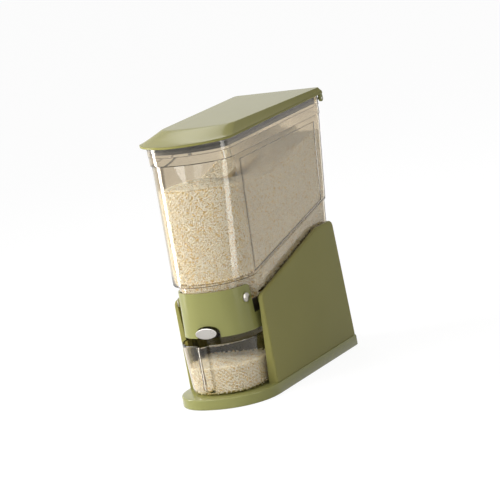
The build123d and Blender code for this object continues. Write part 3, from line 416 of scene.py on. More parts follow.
def outline(half, rear, corner, side, bow, points=BOW_POINTS):
    """Closed outline. Its right half is half of the straight rear, a quarter circle, the side's
    own points (x, y) and a bow, and the left half mirrors it. The bow is given by its half width,
    start, front and power: the shares of half width and of depth, each raised to the power, add
    up to one."""
    bow_half, start, front, power = bow
    along = np.linspace(0, 1, REAR_POINTS, endpoint=False)
    turn = np.radians(np.linspace(90, 0, CORNER_POINTS, endpoint=False))
    sweep = np.radians(np.linspace(0, 90, points))
    x = np.concatenate([along * (half - corner), half - corner + corner * np.cos(turn), side[0],
                        bow_half * np.cos(sweep) ** (2 / power)], axis=-1)
    y = np.concatenate([rear + 0 * along, rear - corner + corner * np.sin(turn), side[1],
                        start + (front - start) * np.sin(sweep) ** (2 / power)], axis=-1)
    right = np.stack([x, y], axis=-1)
    return np.concatenate([right, [-1, 1] * right[..., -2:0:-1, :]], axis=-2)


def plan(half, rear, start, front, power, corner, front_half=None, sides=SIDE_POINTS, points=BOW_POINTS):
    """Outlines with straight sides, one for each entry of the sizes. The sides may taper from
    the half width at the rear to another in front."""
    front_half = half if front_half is None else front_half
    sizes = np.broadcast_arrays(half, rear, start, front, power, corner, front_half)
    half, rear, start, front, power, corner, front_half = [np.asarray(s, float)[..., None] for s in sizes]
    down = np.linspace(0, 1, sides, endpoint=False)
    side = half + (front_half - half) * down, rear - corner + (start - rear + corner) * down
    return outline(half, rear, corner, side, (front_half, start, front, power), points)


def stack(plans, heights):
    """Rows of points in space: each plan lifted to its height."""
    heights = np.broadcast_to(np.asarray(heights, float)[:, None, None], (*plans.shape[:2], 1))
    return np.concatenate([plans, heights], axis=-1)


print("points on half a plan:", REAR_POINTS + CORNER_POINTS + SIDE_POINTS + BOW_POINTS)

# %% Meshes
SHARP_ANGLE = 25.0
MERGE_DISTANCE = 2e-6


def place_piece(name, mesh, material, body, sharp):
    """A smooth piece with one finish, on a body. Edges past the sharp angle stay sharp."""
    mesh.shade_smooth()
    mesh.set_sharp_from_angle(angle=math.radians(sharp))
    mesh.materials.clear()
    mesh.materials.append(material)
    piece = new_object(name, mesh)
    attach(piece, body)
    return piece


def add_mesh(name, points, faces, material, body, sharp):
    """A piece from points in millimetres and a list of equal-sided index arrays."""
    counts = np.concatenate([np.full(len(f), f.shape[1]) for f in faces])
    loops = np.concatenate([f.ravel() for f in faces])
    starts = np.concatenate([[0], np.cumsum(counts)[:-1]])
    mesh = bpy.data.meshes.new(name)
    mesh.vertices.add(len(points))
    mesh.vertices.foreach_set("co", (points * MM).astype(np.float32).ravel())
    mesh.loops.add(len(loops))
    mesh.loops.foreach_set("vertex_index", loops.astype(np.int32))
    mesh.polygons.add(len(counts))
    mesh.polygons.foreach_set("loop_start", starts.astype(np.int32))
    mesh.update(calc_edges=True)
    return place_piece(name, mesh, material, body, sharp)


def signed_volume(points, faces):
    """A sixth of the sum of the corner products, over each face as a fan of triangles. It is
    positive when the faces look outwards."""
    return sum(np.sum(points[f[:, :1]] * np.cross(points[f[:, 1:-1]], points[f[:, 2:]])) for f in faces) / 6


def shell(name, rows, material, body, capped=True, sharp=32.0):
    """Closed rows joined into a tube; its first and last rows are filled, or joined when the
    rows run from the outside over a rim to the inside and back."""
    count, around = rows.shape[:2]
    points = rows.reshape(-1, 3)
    here = np.arange(around)
    ahead = (here + 1) % around
    steps = np.arange(count - 1 if capped else count)
    row = steps[:, None] * around
    above = ((steps + 1) % count)[:, None] * around
    quads = np.stack([row + here, row + ahead, above + ahead, above + here], axis=-1).reshape(-1, 4)
    faces = [quads]
    if capped:
        faces += [here[None, ::-1], here[None] + (count - 1) * around]
    if signed_volume(points, faces) < 0:
        faces = [face[:, ::-1] for face in faces]
    return add_mesh(name, points, faces, material, body, sharp)


def polished(node, name, material, body):
    """A smooth-shaded copy of a CAD node: its loose triangles are merged first."""
    mesh = nodes[node].data.copy()
    work = bmesh.new()
    work.from_mesh(mesh)
    bmesh.ops.remove_doubles(work, verts=work.verts, dist=MERGE_DISTANCE)
    work.to_mesh(mesh)
    work.free()
    piece = place_piece(name, mesh, material, body, SHARP_ANGLE)
    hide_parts(node)
    return piece


def write_numbers(piece, name, values, domain="POINT"):
    """Write one number per point or per face of a piece, for its material to read."""
    layer = piece.data.attributes.new(name, "FLOAT", domain)
    layer.data.foreach_set("value", np.asarray(values, np.float32).ravel())


def face_values(piece, name):
    """One row of three numbers per face: its normal or its centre."""
    values = np.empty(3 * len(piece.data.polygons), np.float32)
    piece.data.polygons.foreach_get(name, values)
    return values.reshape(-1, 3)


print("CAD copies stay sharp past", SHARP_ANGLE, "degrees")

# %% CAD nodes that keep their own mesh
for material, names in (
    (steel, ("plate_screws", "housing_screws", "flap_pin", "flap_spring", "button_screws",
             "hinge_pins", "liner_screws")),
    (gate_brown, ("gate_housing", "gate_flap", "push_frame")),
    (rubber, ("rubber_feet", "lid_gasket")),
    (liner_grey, ("lid_liner",)),
):
    for node in names:
        mesh = nodes[node].data
        mesh.materials.clear()
        mesh.materials.append(material)
    print(material.name, "on", names)

# %% Smooth copies of the moulded parts
BAY_HALF, BAY_FRONT, BAY_REAR, BAY_TOP = 56.0, -104.5, -50.0, 125.0
FRONT_FACING, BAY_SHADE = 0.8, 0.7

polished("base_plate", "foot_plate", green, "stand")
stand = polished("stand_shell", "cradle_stand", satin_green, "stand")
polished("outlet_collar", "green_collar", green, "hopper_unit")
polished("collar_screws", "collar_screw_heads", satin_chrome, "hopper_unit")
button = polished("button_cap", "chrome_button", chrome, "button")

# Painted shade: the button's faces that turn away from the front are marked dark, as the shaded side of the
# raised cap.
turned_away = -face_values(button, "normal")[:, 1] < FRONT_FACING
write_numbers(button, "dark", turned_away, "FACE")
# Painted shade: faces inside the stand's bay round the cup are marked dark, where the collar and the
# pillars would shade them.
x, y, z = face_values(stand, "center").T / MM
in_bay = (np.abs(x) < BAY_HALF) & (y > BAY_FRONT) & (y < BAY_REAR) & (z < BAY_TOP)
write_numbers(stand, "dark", BAY_SHADE * in_bay, "FACE")
print("dark faces:", turned_away.sum(), "on the button,", in_bay.sum(), "in the bay")

# %% [markdown]
# ## The lid
# The lid is a thin moulded cap: a flat rim, then a slope up to a long flat top. The top falls a
# little to the rear and widens there, so the side slopes narrow to almost nothing at the rear.
# Each row is a plan between the rim's and the top's. The height follows that share, held under
# the top by a soft minimum, which rounds the edge.

# %% Lid dome
LID_FOOT, LID_EDGE_TOP = 350.0, 353.4
LID_WALL, LID_FLARE, LID_ROUND, LID_CORNER = 2.6, 1.25, 1.2, 4.5
LID_CENTRE = np.array([0.0, 10.0])
TOP_FRONT_HEIGHT, TOP_FALL, TOP_FALL_START, TOP_SOFTNESS = 364.2, 0.019, -90.0, 0.05
# Half width at the rear and in front, rear, start of the bow, front, and the bow's power.
LID_RIM = (68.9, 68.9, 173.0, -108.6, -153.3, 1.65)
LID_TOP = (65.5, 55.5, 169.5, -60.0, -92.0, 2.5)


def lid_plan(share, inset=0.0):
    """Outline at a share of the way from the rim (0) to the flat top (1). The sides of the top
    run from a narrow front to a wide rear."""
    sizes = [rim + np.asarray(share, float) * (top - rim) for rim, top in zip(LID_RIM, LID_TOP)]
    half, front_half, rear, start, front, power = sizes
    return plan(half - inset, rear - inset, start, front + inset, power, LID_CORNER, front_half - inset)


def lid_height(share, y):
    """Slope up to the tilted top: the share to a power, rounded where it meets the top."""
    rise = np.asarray(share)[..., None] ** LID_FLARE
    soft = 0.5 * (rise + 1 - np.sqrt((rise - 1) ** 2 + TOP_SOFTNESS**2))
    top = TOP_FRONT_HEIGHT - TOP_FALL * (y - TOP_FALL_START)
    return LID_EDGE_TOP + soft * (top - LID_EDGE_TOP)


def lid_slope(share, inset=0.0):
    """Rows of the slope and the top, moved inwards and down by an inset."""
    flat = lid_plan(share, inset)
    return np.concatenate([flat, lid_height(share, flat[..., 1])[..., None] - inset], axis=-1)


def lid_rim():
    """Rows round the rim's edge: a quarter circle below and one above."""
    edge = np.radians([-90, -60, -30, 0, 30, 60, 80])
    flat = lid_plan(np.zeros(len(edge)))
    flat = flat - direction(flat - LID_CENTRE) * (LID_ROUND * (1 - np.cos(edge)))[:, None, None]
    middle = np.where(edge < 0.01, LID_FOOT + LID_ROUND, LID_EDGE_TOP - LID_ROUND)
    return stack(flat, middle + LID_ROUND * np.sin(edge))


def lid_rows():
    """Rows from the inner top, down the inside, round the rim, and up the slope."""
    share = np.concatenate([np.linspace(0, 0.9, 12), np.linspace(0.93, 1.25, 14)])
    inner = lid_slope(share[::-1], LID_WALL)
    foot = inner[-1:].copy()
    foot[..., 2] = LID_FOOT
    return np.concatenate([inner, foot, lid_rim(), lid_slope(share)])


rows = lid_rows()
lid = shell("lid_dome", rows, satin_green, "lid", sharp=50)
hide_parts("lid_shell")
print("lid rows:", rows.shape[0], "points round:", rows.shape[1])

# %% [markdown]
# Two lugs hang from the lid's rear corners and hold the hinge pins. Each is a flat plate with a
# round end, so it is one profile in the side plane, swept across by its thickness.

# %% Lid hinge lugs
HINGE_Y, HINGE_Z = 169.3, 343.5
LUG_RADIUS, LUG_FROM, LUG_THICK, LUG_BEVEL = 4.4, 63.2, 3.5, 0.5
LUG_IN_LID, LUG_TAPER = 1.6, 1.2


def add_lug(label, side, profile):
    """The profile (y, z) swept across, with rounded edges: its rows are drawn in by a quarter
    circle at both ends."""
    turn = np.radians([0, 30, 60, 90])
    centre = profile.mean(axis=0)
    reach = np.linalg.norm(profile - centre, axis=1).mean()
    sizes = 1 - LUG_BEVEL * (1 - np.sin(turn)) / reach
    steps = LUG_BEVEL * (1 - np.cos(turn))
    across = side * np.concatenate([LUG_FROM + steps, (LUG_FROM + LUG_THICK - steps)[::-1]])
    rows = centre + np.concatenate([sizes, sizes[::-1]])[:, None, None] * (profile - centre)
    x = np.broadcast_to(across[:, None, None], (*rows.shape[:2], 1))
    shell(f"lid_lug_{label}", np.concatenate([x, rows], axis=-1), green, "lid", sharp=40)


def lug_profile():
    """A half circle below the hinge, and straight sides up into the lid."""
    turn = np.radians(np.linspace(180, 360, 25))
    round_end = [HINGE_Y, HINGE_Z] + LUG_RADIUS * np.stack([np.cos(turn), np.sin(turn)], axis=-1)
    rear, front, top = HINGE_Y + LUG_RADIUS - LUG_TAPER, HINGE_Y - LUG_RADIUS, LID_FOOT + LUG_IN_LID
    return np.concatenate([round_end, [[rear, top], [front, top]]])


lug = lug_profile()
add_lug("right", 1, lug)
add_lug("left", -1, lug)
print("lug points:", len(lug))

# %% [markdown]
# ## The clear hopper
# The hopper is one moulded wall that leans forward as it goes down. Its plan at any height lies
# on straight lines between the plan at the ledge and the plan under the rings. The lower body
# is narrower, and its front is a neck that fits the collar. The underside of the upper body is
# a ledge that is level in front and climbs to the rear, so a row of the grid isn't level: its
# height depends on how far back each point is.

# %% Upper body
WALL = 2.3
LEDGE, BODY_TOP, RING_STEP, RING_TOP = 162.0, 323.5, 335.8, 349.7
LEDGE_TURN, LEDGE_SLOPE = -92.0, 0.199
BOW_START = -97.1
# Half width, rear and front of the plan at the ledge and under the rings, then the lines of the
# pressed side panel.
FOOT_HALF, TOP_HALF = 58.6, 60.8
FOOT_REAR, TOP_REAR = 135.57, 169.05
FOOT_FRONT, TOP_FRONT = -154.2, -136.2
CORNER = 6.5
PANEL_REAR = (119.5, 145.5)
PANEL_FRONT = (-95.5, -83.0)
PANEL_TOP, PANEL_LIFT, PANEL_DEPTH = 316.5, 5.0, 0.9
STEP_HALF, STEP_FAR = 0.5, 1.2
SIDE_SPANS = (6, 3, 1, 38, 1, 3, 5)
PANEL_FIRST = REAR_POINTS + CORNER_POINTS + sum(SIDE_SPANS[:2])
PANEL_LAST = PANEL_FIRST + sum(SIDE_SPANS[2:5]) + 1


def between(ends, share):
    """The value at a share of the way between two."""
    return ends[0] + share * (ends[1] - ends[0])


def ledge_height(y, lift=0.0):
    """Level in front of the turn, then a steady climb to the rear."""
    return LEDGE + lift + LEDGE_SLOPE * np.maximum(y - LEDGE_TURN, 0)


def hopper_plan(share, inset):
    """Closed outline with panel lines: the side's points fall on both panel edges, so a panel can
    be pressed in without a ragged edge. The share runs from the ledge (0) to the rings (1)."""
    half = between((FOOT_HALF, TOP_HALF), share) - inset
    rear = between((FOOT_REAR, TOP_REAR), share) - inset
    front = between((FOOT_FRONT, TOP_FRONT), share) + inset
    corner = CORNER - inset / 2
    back_line, fore_line = between(PANEL_REAR, share), between(PANEL_FRONT, share)
    stops = [rear - corner, back_line + STEP_HALF, back_line - STEP_HALF, back_line - STEP_FAR,
             fore_line + STEP_FAR, fore_line + STEP_HALF, fore_line - STEP_HALF, BOW_START]
    side_y = np.concatenate([np.linspace(here, ahead, points, endpoint=False)
                             for here, ahead, points in zip(stops, stops[1:], SIDE_SPANS)])
    return outline(half, rear, corner, (np.full_like(side_y, half), side_y),
                   (half, BOW_START, front, 2.0))


def level(height):
    """A top at one height all round."""
    return lambda y: np.full_like(y, height)


def body_row(lift, inset, way, top_of=level(BODY_TOP)):
    """One row of the upper body. The way runs from the ledge (0) to the top (1), and the height
    of each point is found anew a few times, because the height sets how far back the point is."""
    low, high = hopper_plan(0.0, inset), hopper_plan(1.0, inset)
    y = low[:, 1]
    for _ in range(4):
        foot = ledge_height(y, lift)
        z = foot + way * (top_of(y) - foot)
        share = ((z - LEDGE) / (BODY_TOP - LEDGE))[:, None]
        flat = low + share * (high - low)
        y = flat[:, 1]
    return np.concatenate([flat, z[:, None]], axis=-1)


def on_both_sides(columns):
    """Columns of the grid on the right, and their mirror images on the left."""
    around = 2 * (REAR_POINTS + CORNER_POINTS + sum(SIDE_SPANS) + BOW_POINTS) - 2
    return np.concatenate([columns, around - columns])


def panel_row(*row_sizes):
    """A row whose panel points are moved towards the middle by the panel's depth."""
    row = body_row(*row_sizes)
    both = on_both_sides(np.arange(PANEL_FIRST, PANEL_LAST))
    row[both, 0] -= PANEL_DEPTH * np.sign(row[both, 0])
    return row


print("panel columns:", PANEL_FIRST, "to", PANEL_LAST)

# %% Neck and lower body
NECK_HALF, NECK_FRONT, NECK_START, NECK_POWER = 48.6, -144.6, -98.1, 2.4
NECK_REAR, NECK_FOOT = -82.6, 130.0
BLEND_REAR, BLEND_POINTS, LOWER_HALF = -70.0, 14, 57.4
REAR_LEAN, LEAN_START = 0.2073, -20.0
STAND_SLOPE, SLOPE_Y, SLOPE_Z, DECK_TOP = 0.2372, -100.3, 130.5, 174.6
LOWER_REAR = FOOT_REAR + REAR_LEAN * (DECK_TOP - LEDGE)


def floor_height(y, lift=0.0):
    """Open neck in front, then the slope of the stand's deck, then the level deck."""
    slope = np.minimum(SLOPE_Z + STAND_SLOPE * (y - SLOPE_Y), DECK_TOP) + lift
    return np.where(y < NECK_REAR - 0.5, NECK_FOOT, slope)


def lower_half(y, inset=0.0):
    """Half width of the lower body: an S-curve from its full width to the neck."""
    wide, narrow = LOWER_HALF - inset, NECK_HALF - inset
    blend = np.clip((y - BLEND_REAR) / (NECK_START - BLEND_REAR), 0, 1)
    return wide + (narrow - wide) * (3 * blend**2 - 2 * blend**3)


def lower_plan(height_of, inset):
    """One row of the lower body: a bow for the neck, the S-curve behind it, and a rear wall that
    leans with the height of each point."""
    corner, rear = CORNER - inset / 2, LOWER_REAR - inset
    side_y = np.concatenate([
        np.linspace(rear - corner, BLEND_REAR, sum(SIDE_SPANS) - BLEND_POINTS, endpoint=False),
        np.linspace(BLEND_REAR, NECK_START, BLEND_POINTS, endpoint=False),
    ])
    bow = NECK_HALF - inset, NECK_START, NECK_FRONT + inset, NECK_POWER
    flat = outline(LOWER_HALF - inset, rear, corner, (lower_half(side_y, inset), side_y), bow)
    x, y = flat.T
    z = height_of(y)
    lean = np.clip((y - LEAN_START) / (rear - LEAN_START), 0, 1) * REAR_LEAN * (z - DECK_TOP)
    return np.stack([x, y + lean, z], axis=-1)


print("neck front:", NECK_FRONT, "deck height:", DECK_TOP)

# %% Hopper shell
RING_HALF, RING_REAR, RING_START, RING_FRONT, RING_POWER = 61.7, 171.1, -104.0, -137.7, 1.9
# Inset, height and painted dark edge line of each row up the outside of the rings and over the rim.
RING_OUTSIDE = (
    (1.2, BODY_TOP, 1), (0.9, 323.6, 1), (0.68, 323.9, 0.6), (0.6, 324.4, 0), (0.6, 335.2, 0),
    (0.62, 335.7, 1), (0.3, RING_STEP, 1), (0.08, 336.1, 0.3), (0.0, 336.6, 0), (0.0, 348.4, 0),
    (0.12, 349.1, 0), (0.45, 349.55, 0), (0.9, RING_TOP, 0),
)
RING_INSIDE = ((2.4, RING_TOP, 0), (2.85, 349.5, 0), (2.9, 349.0, 0), (2.9, 324.4, 0))
# Inset, way up and painted dark edge line of each row round the ledge's edge.
LEDGE_EDGE = ((1.6, 0.0, 0), (0.9, 0.001, 1), (0.35, 0.005, 1), (0.05, 0.01, 0), (0, 0.016, 0))


def ring_rows(sizes):
    """Rows of the rings: the lower ring is set back a little from the upper one."""
    inset, heights, _ = np.array(sizes).T
    flat = plan(RING_HALF - inset, RING_REAR - inset, RING_START, RING_FRONT + inset, RING_POWER,
                CORNER - inset / 2, sides=sum(SIDE_SPANS))
    return list(stack(flat, heights))


def part_way(way, floor_lift=0.0, ledge_lift=0.0):
    """A height between the deck's slope and the ledge, each lifted by its own amount."""
    def height(y):
        low = floor_height(y, floor_lift)
        return low + way * (ledge_height(y, ledge_lift) - low)
    return height


def hopper_rows():
    """Up the outside from the neck, over the rim, and down the inside. Then the painted dark edge line
    of each row, and the panel's first and last row."""
    rows = [lower_plan(height, 0.0) for height in (floor_height, part_way(0.5), part_way(0.97))]
    rows.append(lower_plan(ledge_height, -0.15))
    lines = {len(rows) + place: line for place, (_, _, line) in enumerate(LEDGE_EDGE)}
    rows += [body_row(0.0, inset, way) for inset, way, _ in LEDGE_EDGE]
    rows.append(body_row(PANEL_LIFT - STEP_HALF, 0.0, 0.0))
    panel_foot = len(rows)
    rows += [panel_row(PANEL_LIFT + lift, 0.0, 0.0) for lift in (STEP_HALF, STEP_FAR)]
    rows += [panel_row(PANEL_LIFT + STEP_FAR, 0.0, way, level(PANEL_TOP - STEP_FAR))
             for way in np.linspace(0, 1, 14)[1:]]
    rows.append(panel_row(0.0, 0.0, 1.0, level(PANEL_TOP - STEP_HALF)))
    panel_head = len(rows) - 1
    rows += [body_row(0.0, 0.0, 1.0, level(height))
             for height in (PANEL_TOP + STEP_HALF, 320.0, 323.1, BODY_TOP)]
    lines[len(rows) - 1] = 1
    lines.update({len(rows) + place: line for place, (_, _, line) in enumerate(RING_OUTSIDE)})
    rows += ring_rows(RING_OUTSIDE) + ring_rows(RING_INSIDE)
    rows += [body_row(WALL, WALL, way) for way in np.linspace(1.0, 0.02, 12)]
    rows.append(body_row(WALL, WALL + 0.4, 0.004))
    rows.append(lower_plan(lambda y: ledge_height(y, WALL), WALL))
    rows.append(lower_plan(lambda y: floor_height(y) + 0.4, WALL))
    row_lines = np.array([lines.get(row, 0) for row in range(len(rows))], float)
    return np.array(rows), row_lines, panel_foot, panel_head


rows, row_lines, panel_foot, panel_head = hopper_rows()
hopper = shell("hopper_wall", rows, clear, "hopper_unit", capped=False, sharp=28)
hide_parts("hopper")
frost = np.zeros(rows.shape[:2])
frost[4:, on_both_sides(np.arange(PANEL_FIRST - 6, PANEL_LAST + 6))] = 1.0
# Painted shade: a dark line on the ring edges, the ledge edge and the panel's edges.
lines = np.repeat(row_lines[:, None], rows.shape[1], axis=1)
crease = np.array([PANEL_FIRST, *range(PANEL_LAST - 2, PANEL_LAST + 3)])
lines[panel_foot:panel_head + 1, on_both_sides(crease)] = 1.0
for row in (panel_foot, panel_head):
    lines[row, on_both_sides(np.arange(PANEL_FIRST, PANEL_LAST))] = 1.0
write_numbers(hopper, "frost", frost)
write_numbers(hopper, "edge_shade_line", lines)
print("hopper wall:", rows.shape, "panel rows:", panel_foot, panel_head)

# %% Hopper floor
FLOOR_THICK, FLOOR_LIFT, FLOOR_GAP = 2.2, 0.15, 0.4


def floor_sections():
    """Flat boxes across the hopper, on the deck's slope, from the neck to the rounded rear. The
    half width follows the wall: an S-curve in front and a quarter circle at the rear."""
    turn = np.radians(np.linspace(0, 90, 8))
    y = np.concatenate([np.linspace(NECK_REAR, BLEND_REAR, 10), np.linspace(-60, 120, 19),
                        LOWER_REAR - CORNER + (CORNER - 1) * np.sin(turn)])
    back = np.clip((y - LOWER_REAR + CORNER) / CORNER, 0, 1)
    half = lower_half(y) - CORNER * (1 - np.sqrt(1 - back**2)) - FLOOR_GAP
    sides = np.array([[-1, 0], [1, 0], [1, 1], [-1, 1]])
    x = sides[:, 0] * half[:, None]
    z = floor_height(y + 1)[:, None] + FLOOR_LIFT + FLOOR_THICK * sides[:, 1]
    return np.stack([x, np.broadcast_to(y[:, None], x.shape), z], axis=-1)


sections = floor_sections()
shell("hopper_floor", sections, clear, "hopper_unit")
print("floor sections:", len(sections))

# %% [markdown]
# ## Rice
# Rice reads as rice only when it is made of grains. A grain is a small spindle of sixteen
# triangles. Two layers of grains lie flat against the inside of each clear wall, two more
# cover the heap, and a plain surface behind them closes the gaps. The deeper layer and that
# surface have darker, more golden tones: painted shade in the gaps between grains. The places
# follow a sequence that fills a surface evenly without a visible pattern.

# %% Grain helpers
GRAIN_SIZES = np.array([4.4, 1.5, 1.3])
LAYER_DEPTHS = (1.05, 2.2)
# Painted shade: each deeper layer's tones are lowered by this much.
LAYER_SHADE = 0.3
WALL_CELL, WALL_TILT, TOP_TILT = 2.1, 6, 14
EVEN_STEPS = (0.7548776662, 0.5698402910)
# The surface behind the grains keeps low, golden tones: painted shade in the gaps.
GOLDEN_SHARE, GOLDEN_TONE, CORE_SHADE_TONE = 0.07, 0.3, (0.15, 0.42)


def unit_grain():
    """A spindle one unit long, wide and thick: two rings of four points between two tips."""
    turn = np.radians([0, 90, 180, 270])
    rings = [np.stack([np.full(4, x), girth * np.cos(turn + twist), girth * np.sin(turn + twist)], axis=-1)
             for x, girth, twist in ((-0.24, 0.48, 0.0), (0.26, 0.45, 0.5))]
    points = np.concatenate([[[-0.5, 0, 0]], *rings, [[0.5, 0, 0]]])
    tip, tail = np.zeros(4, int), np.full(4, 9)
    a, b = 1 + np.arange(4), 1 + (np.arange(4) + 1) % 4
    faces = [(tip, b, a), (a, b, b + 4), (a, b + 4, a + 4), (tail, a + 4, b + 4)]
    return points, np.concatenate([np.stack(face, axis=-1) for face in faces])


def scatter(rows, cell, closed=True):
    """Even places on a grid of points, with a direction along the row and the surface's normal.
    Each place is a fixed share further along both arc lengths than the one before: the shares
    are 1 over 1.3247 and its square."""
    if closed:
        rows = np.concatenate([rows, rows[:, :1]], axis=1)
    gaps = [np.linalg.norm(np.diff(rows, axis=axis), axis=-1).mean(axis=1 - axis) for axis in (1, 0)]
    across, up = [np.concatenate([[0], np.cumsum(gap)]) for gap in gaps]
    step = np.arange(int(across[-1] * up[-1] / cell**2))
    column, row = [np.interp((0.5 + share * step) % 1 * way[-1], way, np.arange(len(way)))
                   for share, way in zip(EVEN_STEPS, (across, up))]
    j = np.minimum(column.astype(int), rows.shape[1] - 2)
    i = np.minimum(row.astype(int), rows.shape[0] - 2)
    g, f = (column - j)[:, None], (row - i)[:, None]
    a, b, c, d = rows[i, j], rows[i, j + 1], rows[i + 1, j], rows[i + 1, j + 1]
    place = (a * (1 - g) + b * g) * (1 - f) + (c * (1 - g) + d * g) * f
    along = (b - a) * (1 - f) + (d - c) * f
    normal = np.cross(along, (c - a) * (1 - g) + (d - b) * g)
    return place, direction(along), direction(normal)


def grains(name, spots, body, seed, tilt, shade):
    """Grains at the spots: each is turned about the normal at random and tipped a little."""
    rng = np.random.default_rng(seed)
    place, along, normal = spots
    count = len(place)
    side = np.cross(normal, along)
    place = place + rng.uniform(-1, 1, (count, 1)) * along + rng.uniform(-1, 1, (count, 1)) * side
    turn = rng.uniform(0, np.pi, (count, 1))
    tip = np.radians(rng.normal(0, tilt, (count, 1)).clip(-2 * tilt, 2 * tilt))
    flat = along * np.cos(turn) + side * np.sin(turn)
    long_axis = flat * np.cos(tip) + normal * np.sin(tip)
    wide_axis = np.cross(normal, flat)
    thick_axis = np.cross(long_axis, wide_axis)
    unit, faces = unit_grain()
    scaled = unit[None] * (GRAIN_SIZES * rng.uniform(0.9, 1.1, (count, 3)))[:, None, :]
    points = place[:, None] + scaled @ np.stack([long_axis, wide_axis, thick_axis], axis=1)
    all_faces = faces[None] + len(unit) * np.arange(count)[:, None, None]
    piece = add_mesh(name, points.reshape(-1, 3), [all_faces.reshape(-1, 3)], rice, body, 180)
    # Random tone per grain, lowered by shade for deeper layers: painted shade between grains.
    tone = (rng.beta(6.0, 2.2, count) - shade).clip(0, 1)
    tone[rng.random(count) < GOLDEN_SHARE] *= GOLDEN_TONE
    write_numbers(piece, "tone", np.repeat(tone, len(unit)))
    return count


def wall_spots(rows, centre_y):
    """Spots on a wall of rows, with normals turned away from the middle."""
    place, along, normal = scatter(rows, WALL_CELL)
    inwards = np.sum((place[:, :2] - [0, centre_y]) * normal[:, :2], axis=1) < 0
    return place, along, normal * np.where(inwards, -1, 1)[:, None]


def cover(name, surface, cell, sinks, body, seed):
    """Layers of grains on top of the rice, each sunk below the surface and shifted a little; the deeper one
    gets painted shade.
    """
    place, along, normal = scatter(surface, cell, closed=False)
    normal = normal * np.sign(normal[:, 2:])
    return sum(grains(f"{name}_{number}", (place + [1.0 * number, 0.9 * number, -sink], along, normal),
                      body, seed + number, TOP_TILT, LAYER_SHADE * number)
               for number, sink in enumerate(sinks))


def add_core(name, rows, height_of, sink, node, body, seed):
    """Closed body behind the grains, in place of the plain CAD rice: its wall rows, then rows
    drawn in over the heap."""
    over = np.repeat(rows[-1:], 6, axis=0)
    over[..., 0] *= np.array([0.95, 0.8, 0.6, 0.4, 0.2, 0.02])[:, None]
    over[..., 2] = height_of(over[..., 0], over[..., 1]) - sink
    rows = np.concatenate([rows, over])
    core = shell(name, rows, rice, body, sharp=180)
    # Low tones on the core: painted shade in the gaps between grains.
    write_numbers(core, "tone", np.random.default_rng(seed).uniform(*CORE_SHADE_TONE, rows.shape[:2]))
    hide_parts(node)


print("triangles in a grain:", len(unit_grain()[1]))

# %% Rice in the hopper
RICE_Y = [-160, -125, -91, -60, 11, 58, 90, 140, 175]
RICE_Z = [288, 288, 285, 281, 277, 285, 296, 300.5, 302]
HEAP_Y, HEAP_SPREAD, HEAP_TALL = -88.0, 42.0, 11.0
HEAP_FRONT, HEAP_REAR, HEAP_HALF = -136.0, 163.0, TOP_HALF - WALL - 2.6
CORE_DEPTH = 3.3
SIDE_SPLIT = 30.0


def rice_line(y):
    """Height of the rice at the wall."""
    return np.interp(y, RICE_Y, RICE_Z)


def heap_height(x, y, half=TOP_HALF - WALL):
    """The wall line, raised along the middle by a bell round the heap's place."""
    bell = np.exp(-(((y - HEAP_Y) / HEAP_SPREAD) ** 2)) * (1 - (x / half) ** 2)
    return rice_line(y) + HEAP_TALL * bell


def heap_surface():
    """Grid over the rice, as wide as the room at each place."""
    y = np.linspace(HEAP_FRONT, HEAP_REAR, 60)[:, None]
    ahead = ((BOW_START - y) / (BOW_START - HEAP_FRONT)).clip(0, 1)
    x = np.linspace(-1, 1, 25) * HEAP_HALF * np.sqrt(np.clip(1 - ahead**2, 0.002, 1))
    y = np.broadcast_to(y, x.shape)
    return np.stack([x, y, heap_height(x, y, HEAP_HALF)], axis=-1)


def body_wall(inset, top_drop=0.0):
    """Rows of the upper room's wall, from its floor to the rice line."""
    def top(y):
        return rice_line(y) - top_drop
    return np.array([body_row(inset, inset, way, top) for way in np.linspace(0.01, 1, 20)])


def lower_wall(inset):
    """Rows of the lower room's wall, from just over the stand's slope to just over the ledge."""
    return np.array([lower_plan(part_way(way, 3.0, 1.0), inset) for way in np.linspace(0, 1, 8)])


total = 0
for number, depth in enumerate(LAYER_DEPTHS):
    spots = wall_spots(body_wall(WALL + depth), 0)
    x = spots[0][:, 0]
    parts = {"right": x > SIDE_SPLIT, "left": x < -SIDE_SPLIT, "ends": np.abs(x) <= SIDE_SPLIT}
    for label, chosen in parts.items():
        total += grains(f"wall_grains_{label}_{number}", tuple(s[chosen] for s in spots),
                        "hopper_unit", 11 + number, WALL_TILT, LAYER_SHADE * number)
    total += grains(f"lower_grains_{number}", wall_spots(lower_wall(WALL + depth), 0),
                    "hopper_unit", 21 + number, WALL_TILT, LAYER_SHADE * number)
total += cover("heap_grains", heap_surface(), 2.5, (0.5, 1.6), "hopper_unit", 31)
rows = np.concatenate([lower_wall(WALL + CORE_DEPTH), body_wall(WALL + CORE_DEPTH, 2.4)])
add_core("rice_core", rows, heap_height, 2.5, "rice_in_hopper", "hopper_unit", 41)
print("grains in the hopper:", total)

# %% [markdown]
# ## The measuring cup
# The cup is a bowed shell with a rounded foot. Its grip is a hollow swelling in the front wall,
# about a finger wide, that runs from the foot to the rim. The swelling is a smooth bump added
# to the distance of the front wall.

